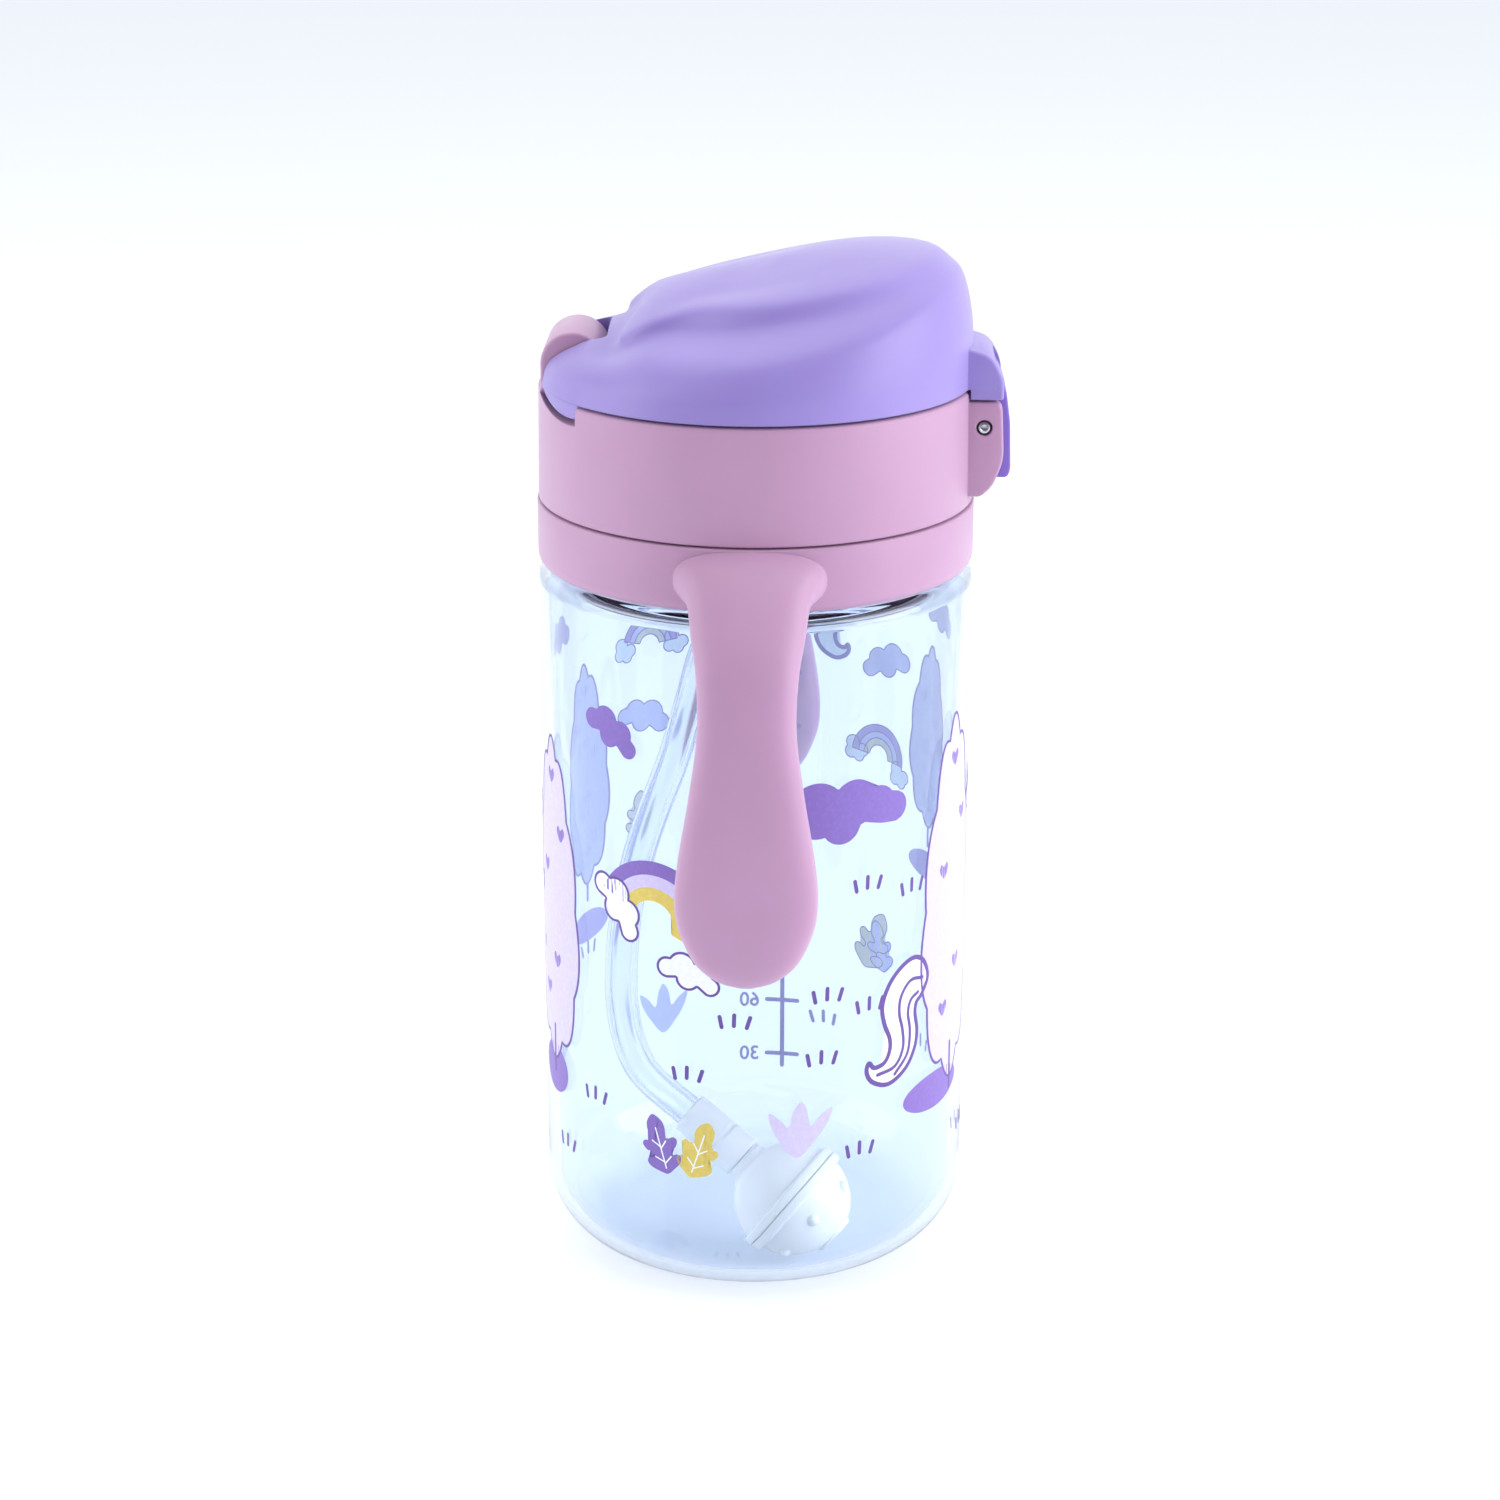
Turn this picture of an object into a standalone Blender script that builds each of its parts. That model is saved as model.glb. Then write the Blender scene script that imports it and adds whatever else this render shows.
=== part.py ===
"""Children's straw bottle: clear cup, handle ring, screw lid with a sprung flip cap, and a weighted straw.

The origin is the centre of the cup's flat base, +Z is up. The cap's hinge is at -X, its latch at +X,
and the two handles are at -Y and +Y. All sizes are in metres, worked out from the values below.
"""

import math

import bmesh
import bpy
from mathutils import Matrix, Vector

MM = 0.001

# Fits
GAP = 0.3 * MM          # between pieces that touch
RUN = 0.1 * MM          # radial, a pin in its hole
STEPS = 40              # facets of a large turned piece
SMALL_STEPS = 20        # facets of a small turned piece

# Cup
CUP_R = 33.0 * MM
CUP_WALL = 1.8 * MM
CUP_CORNER = 11.5 * MM
SHOULDER_Z = 110.1 * MM
SHOULDER_ROUND = 2.2 * MM
NECK_R = 27.6 * MM
NECK_WALL = 1.8 * MM
NECK_HEIGHT = 21.4 * MM
BEAD_HEIGHT = 4.0 * MM

# Screw thread of the neck and the lid
PITCH = 4.0 * MM
THREAD_TURNS = 1.6
THREAD_DEPTH = 1.5 * MM
THREAD_ROOT = 2.0 * MM
THREAD_TIP = 0.9 * MM
THREAD_PLAY = 0.5 * MM

# Handle ring and its two handles
RING_HEIGHT = 9.8 * MM
RING_ROUND = 1.7 * MM
HANDLE_REACH = 13.5 * MM
HANDLE_DROP = 56.0 * MM
HANDLE_PAD = 23.5 * MM
HANDLE_NECK = 14.2 * MM
HANDLE_BULB = 20.7 * MM
HANDLE_THICK = 8.0 * MM

# Lid collar
COLLAR_HEIGHT = 17.3 * MM
COLLAR_TAPER = 0.2 * MM
DECK_DROP = 2.2 * MM
DECK_THICK = 2.1 * MM
RIM_LAND = 3.0 * MM
PLUG_WALL = 1.8 * MM
PLUG_DEPTH = 4.0 * MM

# Cap hinge
HINGE_IN = 6.0 * MM
HINGE_UP = 3.5 * MM
BARREL_R = 4.8 * MM
BARREL_WIDTH = 14.0 * MM
HINGE_PIN_R = 1.2 * MM
HINGE_PIN_LENGTH = 23.0 * MM
SLOT_PLAY = 0.4 * MM

# Flip cap
CAP_WALL = 1.8 * MM
CAP_RISE = 17.7 * MM
CAP_STEPS = 40

# Latch
LATCH_OUT = 1.25 * MM
LATCH_DOWN = 5.3 * MM
LATCH_PIN_R = 1.1 * MM
EAR_WIDTH = 16.0 * MM
EAR_THICK = 2.8 * MM
LEVER_KNUCKLE = 2.4 * MM

# Drinking parts under the cap
SPOUT_R = 5.6 * MM
SPOUT_HEIGHT = 14.6 * MM
SPOUT_BORE = 2.0 * MM
FLANGE_R = 11.0 * MM
FLANGE_THICK = 1.2 * MM
PLATE_THICK = 1.8 * MM
SOCKET_WALL = 2.4 * MM
SOCKET_DEPTH = 6.0 * MM
VENT_R = 2.0 * MM
VENT_X = 15.5 * MM

# Straw and its weight
STRAW_R = 2.5 * MM
STRAW_FIT = 0.3 * MM
WEIGHT_R = 9.0 * MM
WEIGHT_FLANGE = 9.8 * MM
WEIGHT_WALL = 1.2 * MM
WEIGHT_FLOW = 2.0 * MM
SLEEVE_LENGTH = 11.0 * MM
SLEEVE_WALL = 1.1 * MM
STRAW_IN_SLEEVE = 6.5 * MM
WEIGHT_SIDE_ROOM = 1.4 * MM
WEIGHT_FLOOR_ROOM = 1.2 * MM
WEIGHT_BEARING = math.radians(-71.5)
WEIGHT_TURN = math.radians(-19.5)
WEIGHT_DIP = math.radians(35.5)

# Heights and radii that follow from the sizes above
NECK_TOP = SHOULDER_Z + NECK_HEIGHT
RING_Z = SHOULDER_Z + GAP
RING_TOP = RING_Z + RING_HEIGHT
COLLAR_Z = RING_TOP + GAP
COLLAR_TOP = COLLAR_Z + COLLAR_HEIGHT
DECK_TOP = COLLAR_TOP - DECK_DROP
DECK_UNDER = DECK_TOP - DECK_THICK
THREAD_R = NECK_R + THREAD_DEPTH
COLLAR_BORE = THREAD_R + THREAD_PLAY
RING_BORE = COLLAR_BORE
COLLAR_R = CUP_R - COLLAR_TAPER
NECK_BORE = NECK_R - NECK_WALL
PLUG_R = NECK_BORE - 2 * GAP
HINGE_X = -(CUP_R - HINGE_IN)
HINGE_Z = COLLAR_TOP + HINGE_UP
CAP_R = CUP_R - 0.5 * MM
CAP_Z = COLLAR_TOP + GAP + 0.1 * MM
LATCH_X = COLLAR_R + LATCH_OUT
LATCH_Z = COLLAR_TOP - LATCH_DOWN
EAR_HALF = EAR_WIDTH / 2
LEVER_HALF = EAR_HALF - EAR_THICK - GAP
FLANGE_Z = DECK_UNDER - GAP - FLANGE_THICK
PLATE_Z = FLANGE_Z - GAP - PLATE_THICK
SOCKET_BORE = STRAW_R + STRAW_FIT
SOCKET_R = SOCKET_BORE + SOCKET_WALL
SLEEVE_R = SOCKET_BORE + SLEEVE_WALL
WEIGHT_OUT = CUP_R - CUP_WALL - WEIGHT_FLANGE - WEIGHT_SIDE_ROOM
WEIGHT_CENTRE = Vector(
    (
        WEIGHT_OUT * math.cos(WEIGHT_BEARING),
        WEIGHT_OUT * math.sin(WEIGHT_BEARING),
        CUP_WALL + WEIGHT_R + WEIGHT_FLOOR_ROOM,
    )
)

# The straw's middle line, down from its socket towards the weight's sleeve. Its heights are for a
# lid whose plate is at ROUTE_PLATE_Z, and stretch with a taller or shorter cup.
ROUTE_PLATE_Z = 129.9 * MM
ROUTE_STRETCH = PLATE_Z / ROUTE_PLATE_Z
STRAW_ROUTE = [
    Vector((x, y, z * ROUTE_STRETCH)) * MM
    for x, y, z in (
        (0.0, 0.0, 129.0),
        (0.0, 0.0, 123.0),
        (-0.7, 0.0, 117.0),
        (-2.5, -0.1, 109.5),
        (-5.1, -0.3, 102.0),
        (-8.0, -0.6, 94.8),
        (-10.2, -1.5, 86.5),
        (-12.6, -2.6, 78.5),
        (-15.7, -4.1, 70.3),
        (-18.0, -5.4, 63.0),
        (-19.6, -6.7, 55.5),
        (-20.3, -8.1, 48.0),
        (-20.2, -9.5, 40.8),
        (-18.9, -10.9, 34.6),
        (-16.2, -12.1, 29.7),
    )
]


# ---------------------------------------------------------------- scene and helpers

def clear_scene():
    for old in list(bpy.data.objects):
        bpy.data.objects.remove(old, do_unlink=True)


def collection(name, hidden=False):
    made = bpy.data.collections.new(name)
    bpy.context.scene.collection.children.link(made)
    made.hide_render = hidden
    return made


def material(name, colour, roughness, metallic=0.0, alpha=1.0):
    made = bpy.data.materials.new(name)
    made.use_nodes = True
    shader = made.node_tree.nodes["Principled BSDF"]
    shader.inputs["Base Color"].default_value = (*colour, 1.0)
    shader.inputs["Roughness"].default_value = roughness
    shader.inputs["Metallic"].default_value = metallic
    shader.inputs["Alpha"].default_value = alpha
    return made


def add(name, mesh, finish=None, at=(0, 0, 0)):
    """A sub-part in the bottle's collection, or a hidden cutter where no finish is given."""
    made = bpy.data.objects.new(name, mesh)
    made.location = at
    if finish is None:
        CUTTERS.objects.link(made)
        made.hide_render = True
        made.display_type = "WIRE"
        return made
    PARTS.objects.link(made)
    mesh.materials.append(finish)
    if hasattr(mesh, "shade_smooth"):
        mesh.shade_smooth()
        mesh.set_sharp_from_angle(angle=math.radians(35))
    return made


def to_mesh(name, bm):
    mesh = bpy.data.meshes.new(name)
    bmesh.ops.recalc_face_normals(bm, faces=bm.faces)
    bm.to_mesh(mesh)
    bm.free()
    return mesh


def turned(name, profile, finish=None, steps=STEPS, at=(0, 0, 0)):
    """Turns (radius, height) points about Z. They run up the inner side, then down the outer side.

    Where both ends lie on the axis the outline is open, and elsewhere it is closed by one more edge.
    """
    mesh = bpy.data.meshes.new(name)
    edges = [(i, i + 1) for i in range(len(profile) - 1)]
    if profile[0][0] > 0:
        edges.append((len(profile) - 1, 0))
    mesh.from_pydata([(radius, 0, height) for radius, height in profile], edges, [])
    made = add(name, mesh, finish, at)
    screw = made.modifiers.new("Turn", "SCREW")
    screw.steps = steps
    screw.render_steps = steps
    screw.use_merge_vertices = True
    screw.merge_threshold = 1e-5
    return made


def arc(centre, radius, start, end, count):
    """Points of an arc in the radius-height plane, angles in degrees."""
    angles = [math.radians(start + (end - start) * i / count) for i in range(count + 1)]
    return [(centre[0] + radius * math.cos(a), centre[1] + radius * math.sin(a)) for a in angles]


def box(name, low, high, finish=None):
    bm = bmesh.new()
    bmesh.ops.create_cube(bm, size=1.0)
    size = Vector(high) - Vector(low)
    bmesh.ops.scale(bm, vec=size, verts=bm.verts)
    bmesh.ops.translate(bm, vec=Vector(low) + size / 2, verts=bm.verts)
    return add(name, to_mesh(name, bm), finish)


def rod_along_y(name, radius, low_y, high_y, x, z, finish=None, steps=SMALL_STEPS, chamfer=0.0):
    """A cylinder whose axis is parallel to Y; its origin is on that axis."""
    bm = bmesh.new()
    bmesh.ops.create_cone(
        bm, cap_ends=True, segments=steps, radius1=radius, radius2=radius, depth=high_y - low_y
    )
    if chamfer:
        rims = [e for e in bm.edges if abs(e.verts[0].co.z - e.verts[1].co.z) < 1e-6]
        bmesh.ops.bevel(
            bm, geom=rims, offset=chamfer, offset_type="OFFSET", segments=2, profile=0.5,
            affect="EDGES", material=-1,
        )
    bmesh.ops.rotate(bm, matrix=Matrix.Rotation(math.pi / 2, 3, "X"), verts=bm.verts)
    bmesh.ops.translate(bm, vec=(0, (low_y + high_y) / 2, 0), verts=bm.verts)
    return add(name, to_mesh(name, bm), finish, at=(x, 0, z))


def plate_along_y(name, outline, low_y, high_y, finish=None, origin=(0, 0, 0)):
    """An outline of (x, z) points, extruded from low_y to high_y."""
    bm = bmesh.new()
    corners = [bm.verts.new((x - origin[0], low_y, z - origin[2])) for x, z in outline]
    face = bm.faces.new(corners)
    grown = bmesh.ops.extrude_face_region(bm, geom=[face])
    moved = [v for v in grown["geom"] if isinstance(v, bmesh.types.BMVert)]
    bmesh.ops.translate(bm, vec=(0, high_y - low_y, 0), verts=moved)
    return add(name, to_mesh(name, bm), finish, at=origin)


def boolean(target, tool, operation):
    cut = target.modifiers.new(f"{operation.title()} {tool.name}", "BOOLEAN")
    cut.operation = operation
    cut.object = tool
    cut.solver = "EXACT"


def loft(name, rings, finish=None, at=(0, 0, 0)):
    """A closed body through rings that have the same number of points."""
    bm = bmesh.new()
    loops = [[bm.verts.new(point) for point in ring] for ring in rings]
    for near, far in zip(loops, loops[1:]):
        for i in range(len(near)):
            j = (i + 1) % len(near)
            bm.faces.new((near[i], near[j], far[j], far[i]))
    bm.faces.new(loops[0])
    bm.faces.new(loops[-1])
    return add(name, to_mesh(name, bm), finish, at)


def smooth_point(points, u):
    """Point u, from 0 to the last index, of the Catmull-Rom curve through the points."""
    i = min(int(u), len(points) - 2)
    t = u - i
    before = points[i - 1] if i > 0 else 2 * points[0] - points[1]
    after = points[i + 2] if i + 2 < len(points) else 2 * points[-1] - points[-2]
    a, b = points[i], points[i + 1]
    return 0.5 * (
        2 * a + (b - before) * t + (2 * before - 5 * a + 4 * b - after) * t * t
        + (3 * a - before - 3 * b + after) * t ** 3
    )


def helix_ridge(name, root_r, tip_r, bottom_z, turns):
    """A screw ridge of trapezium section. Its root sinks into the wall it stands on."""
    bm = bmesh.new()
    inward = 1 if tip_r > root_r else -1
    sunk = root_r - inward * GAP
    half_root = THREAD_ROOT / 2
    half_tip = THREAD_TIP / 2
    section = ((sunk, -half_root), (tip_r, -half_tip), (tip_r, half_tip), (sunk, half_root))
    face = bm.faces.new([bm.verts.new((radius, 0, bottom_z + z)) for radius, z in section])
    steps = round(STEPS * turns)
    bmesh.ops.spin(
        bm, geom=[face, *face.edges, *face.verts], cent=(0, 0, 0), axis=(0, 0, 1),
        dvec=(0, 0, PITCH / STEPS), angle=math.tau * steps / STEPS, steps=steps,
    )
    return add(name, to_mesh(name, bm))


def coil_along_y(name, radius, wire, low_y, high_y, turns, x, z, finish):
    """A torsion spring round an axis parallel to Y, with short straight legs."""
    curve = bpy.data.curves.new(name, "CURVE")
    curve.dimensions = "3D"
    curve.bevel_depth = wire
    curve.bevel_resolution = 1
    curve.use_fill_caps = True
    per_turn = 10
    count = int(turns * per_turn) + 1
    spline = curve.splines.new("POLY")
    spline.points.add(count - 1)
    for i, point in enumerate(spline.points):
        angle = math.tau * i / per_turn
        y = low_y + (high_y - low_y) * i / (count - 1)
        point.co = (radius * math.cos(angle), y, radius * math.sin(angle), 1)
    made = bpy.data.objects.new(name, curve)
    curve.materials.append(finish)
    made.location = (x, 0, z)
    PARTS.objects.link(made)
    return made


# ---------------------------------------------------------------- cup and handle ring

def make_cup(finish):
    floor = CUP_WALL
    inner_r = CUP_R - CUP_WALL
    inner_corner = CUP_CORNER - CUP_WALL
    inner_shoulder = SHOULDER_Z - CUP_WALL
    edge = 0.3 * MM
    bead_low = SHOULDER_Z + RING_HEIGHT / 2 - BEAD_HEIGHT / 2
    bead_r = RING_BORE - GAP
    slope = bead_r - NECK_R
    profile = [(0, floor)]
    profile += arc((inner_r - inner_corner, CUP_CORNER), inner_corner, -90, 0, 4)
    profile += arc((inner_r - edge, inner_shoulder - edge), edge, 0, 90, 1)
    profile += [(NECK_BORE + 2 * edge, inner_shoulder), (NECK_BORE, inner_shoulder + 2 * edge)]
    profile += [(NECK_BORE, NECK_TOP - edge), (NECK_BORE + edge, NECK_TOP)]
    profile += [(NECK_R - edge, NECK_TOP), (NECK_R, NECK_TOP - edge)]
    profile += [(NECK_R, bead_low + BEAD_HEIGHT + slope), (bead_r, bead_low + BEAD_HEIGHT)]
    profile += [(bead_r, bead_low), (NECK_R, bead_low - slope), (NECK_R, SHOULDER_Z)]
    profile += arc((CUP_R - SHOULDER_ROUND, SHOULDER_Z - SHOULDER_ROUND), SHOULDER_ROUND, 90, 0, 3)
    profile += arc((CUP_R - CUP_CORNER, CUP_CORNER), CUP_CORNER, 0, -90, 6)
    profile += [(0, 0)]
    cup = turned("bottle_body", profile, finish)
    ridge_z = COLLAR_Z + THREAD_ROOT
    boolean(cup, helix_ridge("neck_thread", NECK_R, THREAD_R, ridge_z, THREAD_TURNS), "UNION")


def handle_rings():
    """Sections of one handle, from inside the ring down to its round tip, for the handle at -Y."""
    out = CUP_R + HANDLE_REACH
    top = RING_TOP - 5.6 * MM
    low = top - HANDLE_DROP
    thick = HANDLE_THICK
    pad = HANDLE_PAD
    neck = HANDLE_NECK
    bulb = HANDLE_BULB
    # distance out, height, width, thickness, lean of the section from vertical (degrees)
    stations = (
        (CUP_R - 2.2 * MM, top - 0.2 * MM, pad, thick, 90),
        (CUP_R + 0.6 * MM, top - 0.2 * MM, pad * 0.9, thick * 0.97, 84),
        (CUP_R + 3.6 * MM, top - 1.6 * MM, pad * 0.77, thick * 0.9, 60),
        (out - 6.5 * MM, top - 5.0 * MM, neck + 2.2 * MM, thick * 0.88, 42),
        (out - 3.2 * MM, top - 10.5 * MM, neck + 0.4 * MM, thick * 0.88, 22),
        (out - 1.6 * MM, top - 18 * MM, neck, thick * 0.9, 9),
        (out - 0.6 * MM, top - 27 * MM, neck + (bulb - neck) * 0.35, thick * 0.94, 5),
        (out, low + 19 * MM, neck + (bulb - neck) * 0.86, thick, 1),
        (out, low + 13 * MM, bulb, thick, 0),
        (out, low + 8.5 * MM, bulb * 0.93, thick * 0.98, 0),
        (out, low + 4 * MM, bulb * 0.73, thick * 0.9, 0),
        (out, low + 1.4 * MM, bulb * 0.46, thick * 0.66, 0),
        (out, low + 0.2 * MM, bulb * 0.16, thick * 0.3, 0),
    )
    sides = 12
    rings = []
    for distance, height, width, depth, lean in stations:
        lean = math.radians(lean)
        ring = []
        for i in range(sides):
            angle = math.tau * (i + 0.5) / sides
            across = width / 2 * squared(math.cos(angle))
            along = depth / 2 * squared(math.sin(angle))
            y = -distance - along * math.cos(lean)
            ring.append((across, y, height + along * math.sin(lean)))
        rings.append(ring)
    return rings


def squared(value):
    """Pushes a circle's sine or cosine towards a rounded rectangle."""
    return math.copysign(abs(value) ** 0.8, value)


def make_handle_ring(finish):
    profile = [(RING_BORE, RING_Z), (RING_BORE, RING_TOP), (CUP_R, RING_TOP)]
    profile += arc((CUP_R - RING_ROUND, RING_Z + RING_ROUND), RING_ROUND, 0, -90, 3)
    ring = turned("handle_ring", profile, finish)
    handle = loft("handle_front", handle_rings())
    boolean(ring, handle, "UNION")
    back = add("handle_back", handle.data.copy())
    back.rotation_euler.z = math.pi
    boolean(ring, back, "UNION")


# ---------------------------------------------------------------- lid collar

def make_collar(finish):
    edge = 0.4 * MM
    top_r = COLLAR_R - COLLAR_TAPER
    recess_r = COLLAR_R - RIM_LAND
    hole = SPOUT_R + 1.6 * MM
    plug_low = DECK_UNDER - PLUG_DEPTH
    profile = [(hole, DECK_UNDER), (hole, DECK_TOP), (recess_r, DECK_TOP), (recess_r, COLLAR_TOP)]
    profile += [(top_r - edge, COLLAR_TOP), (top_r, COLLAR_TOP - edge)]
    profile += [(COLLAR_R, COLLAR_Z + edge), (COLLAR_R - edge, COLLAR_Z)]
    profile += [(COLLAR_BORE, COLLAR_Z), (COLLAR_BORE, DECK_UNDER), (PLUG_R, DECK_UNDER)]
    profile += [(PLUG_R, plug_low), (PLUG_R - PLUG_WALL, plug_low)]
    profile += [(PLUG_R - PLUG_WALL, DECK_UNDER)]
    collar = turned("lid_collar", profile, finish)

    ridge_z = COLLAR_Z + THREAD_ROOT + PITCH / 2
    tip_r = COLLAR_BORE - THREAD_DEPTH
    boolean(collar, helix_ridge("lid_thread", COLLAR_BORE, tip_r, ridge_z, THREAD_TURNS), "UNION")

    half = BARREL_WIDTH / 2
    foot = DECK_UNDER + 0.5 * MM
    tower_outline = [(HINGE_X - BARREL_R, foot)]
    tower_outline += arc((HINGE_X, HINGE_Z), BARREL_R, 180, 0, 14)
    tower_outline += [(HINGE_X + BARREL_R, foot)]
    boolean(collar, plate_along_y("hinge_tower", tower_outline, -half, half), "UNION")
    ear_outline = (
        (COLLAR_R - 1.6 * MM, COLLAR_TOP - 1.5 * MM),
        (LATCH_X + 2.1 * MM, COLLAR_TOP - 1.5 * MM),
        (LATCH_X + 3.0 * MM, COLLAR_TOP - 2.6 * MM),
        (LATCH_X + 2.8 * MM, LATCH_Z - 6.6 * MM),
        (COLLAR_R + 0.3 * MM, COLLAR_Z + 1.3 * MM),
        (COLLAR_R - 1.6 * MM, COLLAR_Z + 1.3 * MM),
    )
    for side in (-1, 1):
        low, high = sorted((side * EAR_HALF, side * (EAR_HALF - EAR_THICK)))
        ear = plate_along_y(f"latch_ear_{side + 1}", ear_outline, low, high)
        boolean(collar, ear, "UNION")

    # Room for the cap's arms as they swing down, each side of the tower
    swing_r = HINGE_IN + 0.35 * MM
    for side in (-1, 1):
        low, high = sorted((side * half, side * 20 * MM))
        swing = rod_along_y(f"arm_swing_{side + 1}", swing_r, low, high, HINGE_X, HINGE_Z, steps=28)
        boolean(collar, swing, "DIFFERENCE")

    pin_hole = rod_along_y("hinge_hole", HINGE_PIN_R + RUN, -half - MM, half + MM, HINGE_X, HINGE_Z)
    boolean(collar, pin_hole, "DIFFERENCE")
    spring_room = rod_along_y("spring_room", 3.2 * MM, 1.0 * MM, half + MM, HINGE_X, HINGE_Z)
    boolean(collar, spring_room, "DIFFERENCE")
    pocket = rod_along_y(
        "lever_pocket", LEVER_KNUCKLE + GAP, -LEVER_HALF - GAP, LEVER_HALF + GAP, LATCH_X, LATCH_Z
    )
    boolean(collar, pocket, "DIFFERENCE")
    latch_hole = rod_along_y(
        "latch_hole", LATCH_PIN_R + RUN, -EAR_HALF - MM, EAR_HALF + MM, LATCH_X, LATCH_Z
    )
    boolean(collar, latch_hole, "DIFFERENCE")
    hole_r = VENT_R / 2 + GAP
    high, low = DECK_TOP + MM, DECK_UNDER - MM
    hole_profile = [(0, high), (hole_r, high), (hole_r, low), (0, low)]
    vent_hole = turned("vent_hole", hole_profile, steps=SMALL_STEPS, at=(VENT_X, 0, 0))
    boolean(collar, vent_hole, "DIFFERENCE")


def make_gasket(finish):
    inner = PLUG_R + GAP
    outer = COLLAR_BORE - GAP
    low = NECK_TOP + GAP
    high = DECK_UNDER - GAP
    turned("neck_gasket", [(inner, low), (inner, high), (outer, high), (outer, low)], finish)


# ---------------------------------------------------------------- flip cap

def cap_values(at_latch, at_side, at_hinge, azimuth):
    """A size that is given at the latch (azimuth 0), at both sides (90) and at the hinge (180)."""
    c = math.cos(azimuth)
    return at_side + (at_latch - at_hinge) / 2 * c + ((at_latch + at_hinge) / 2 - at_side) * c * c


def cap_profile(azimuth):
    """(radius, height above the cap's edge) down one side: crown, scarp, flank and edge."""
    top = CAP_RISE
    rim = CAP_R
    table = (
        # radius at latch, side, hinge      height at latch, side, hinge
        (8.0 * MM, 8.0 * MM, 8.0 * MM, top + 1.6 * MM, top - 1.1 * MM, top - 2.0 * MM),
        (16.5 * MM, 16.0 * MM, 12.5 * MM, top + 2.6 * MM, top - 2.9 * MM, top - 3.4 * MM),
        (25.6 * MM, 23.0 * MM, 16.1 * MM, top + 2.1 * MM, top - 5.1 * MM, top - 5.2 * MM),
        (28.9 * MM, 25.4 * MM, 18.8 * MM, top + 0.3 * MM, top - 7.1 * MM, top - 6.6 * MM),
        (rim - 1.5 * MM, rim - 3.2 * MM, 25.4 * MM, top - 2.4 * MM, top - 10.0 * MM, top - 9.0 * MM),
        (rim - 0.2 * MM, rim - 0.4 * MM, rim - 1.6 * MM, top - 9.0 * MM, top - 13.9 * MM, top - 13.0 * MM),
        (rim, rim, rim, 0.0, 0.0, 0.0),
    )
    return [
        Vector((cap_values(*row[:3], azimuth), cap_values(*row[3:], azimuth))) for row in table
    ]


def cap_rings(wall, foot):
    """Rings of the cap's outer form, or of its hollow when a wall is taken off, down to the foot."""
    columns = []
    crown = Vector((0.0, CAP_RISE))
    parts = (0.5, 1, 1.5, 2, 2.5, 3, 3.5, 4, 5, 5.5, 6, 7)
    for step in range(CAP_STEPS):
        azimuth = math.tau * step / CAP_STEPS
        points = [crown, *cap_profile(azimuth)]
        column = []
        for u in parts:
            radius, height = smooth_point(points, u)
            radius -= wall * radius / CAP_R
            z = CAP_Z + height - wall
            column.append((radius * math.cos(azimuth), radius * math.sin(azimuth), z))
        x, y, _ = column[-1]
        column[-1] = (x, y, CAP_Z - foot)
        columns.append(column)
    return [[column[k] for column in columns] for k in range(len(parts))]


def make_cap(finish):
    cap = loft("flip_cap", cap_rings(0.0, 0.0), finish)
    hollow = loft("cap_hollow", cap_rings(CAP_WALL, 3 * MM))
    arm_out = HINGE_PIN_LENGTH / 2 + 1.2 * MM
    slot_half = BARREL_WIDTH / 2 + SLOT_PLAY
    slot_end = HINGE_X + BARREL_R + SLOT_PLAY
    solid_end = box(
        "hinge_end_solid", (-CUP_R - 5 * MM, -arm_out, CAP_Z - 8 * MM),
        (slot_end + CAP_WALL, arm_out, CAP_Z + CAP_RISE + 5 * MM),
    )
    boolean(hollow, solid_end, "DIFFERENCE")
    boolean(cap, hollow, "DIFFERENCE")
    slot = box(
        "hinge_slot", (-CUP_R - 5 * MM, -slot_half, CAP_Z - 8 * MM),
        (slot_end, slot_half, CAP_Z + CAP_RISE + 5 * MM),
    )
    boolean(cap, slot, "DIFFERENCE")
    tab_low = COLLAR_TOP - 1.5 * MM + GAP
    tab_outline = (
        (CAP_R - 1.5 * MM, CAP_Z),
        (COLLAR_R + GAP, CAP_Z),
        (COLLAR_R + GAP, tab_low),
        (LATCH_X + 2.2 * MM, tab_low),
        (LATCH_X + 2.4 * MM, tab_low + 2.6 * MM),
        (LATCH_X + 1.8 * MM, tab_low + 4.8 * MM),
        (CAP_R + 0.6 * MM, tab_low + 7.8 * MM),
        (CAP_R - 1.5 * MM, tab_low + 8.4 * MM),
    )
    tab = plate_along_y("latch_tab", tab_outline, -EAR_HALF, EAR_HALF)
    boolean(cap, tab, "UNION")
    recess = box(
        "lever_recess", (COLLAR_R + 1.0 * MM, -LEVER_HALF - GAP, tab_low - MM),
        (LATCH_X + 6 * MM, LEVER_HALF + GAP, tab_low + 12 * MM),
    )
    boolean(cap, recess, "DIFFERENCE")
    hole_half = HINGE_PIN_LENGTH / 2 + GAP
    pin_hole = rod_along_y("cap_hole", HINGE_PIN_R + RUN, -hole_half, hole_half, HINGE_X, HINGE_Z)
    boolean(cap, pin_hole, "DIFFERENCE")


def make_cap_stopper(finish):
    low = DECK_TOP + SPOUT_HEIGHT + GAP
    high = low + 1.9 * MM
    radius = SPOUT_R + 0.9 * MM
    edge = 0.4 * MM
    profile = [(0, high), (radius - edge, high), (radius, high - edge), (radius, low), (0, low)]
    turned("cap_stopper", profile, finish, steps=SMALL_STEPS)


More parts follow.
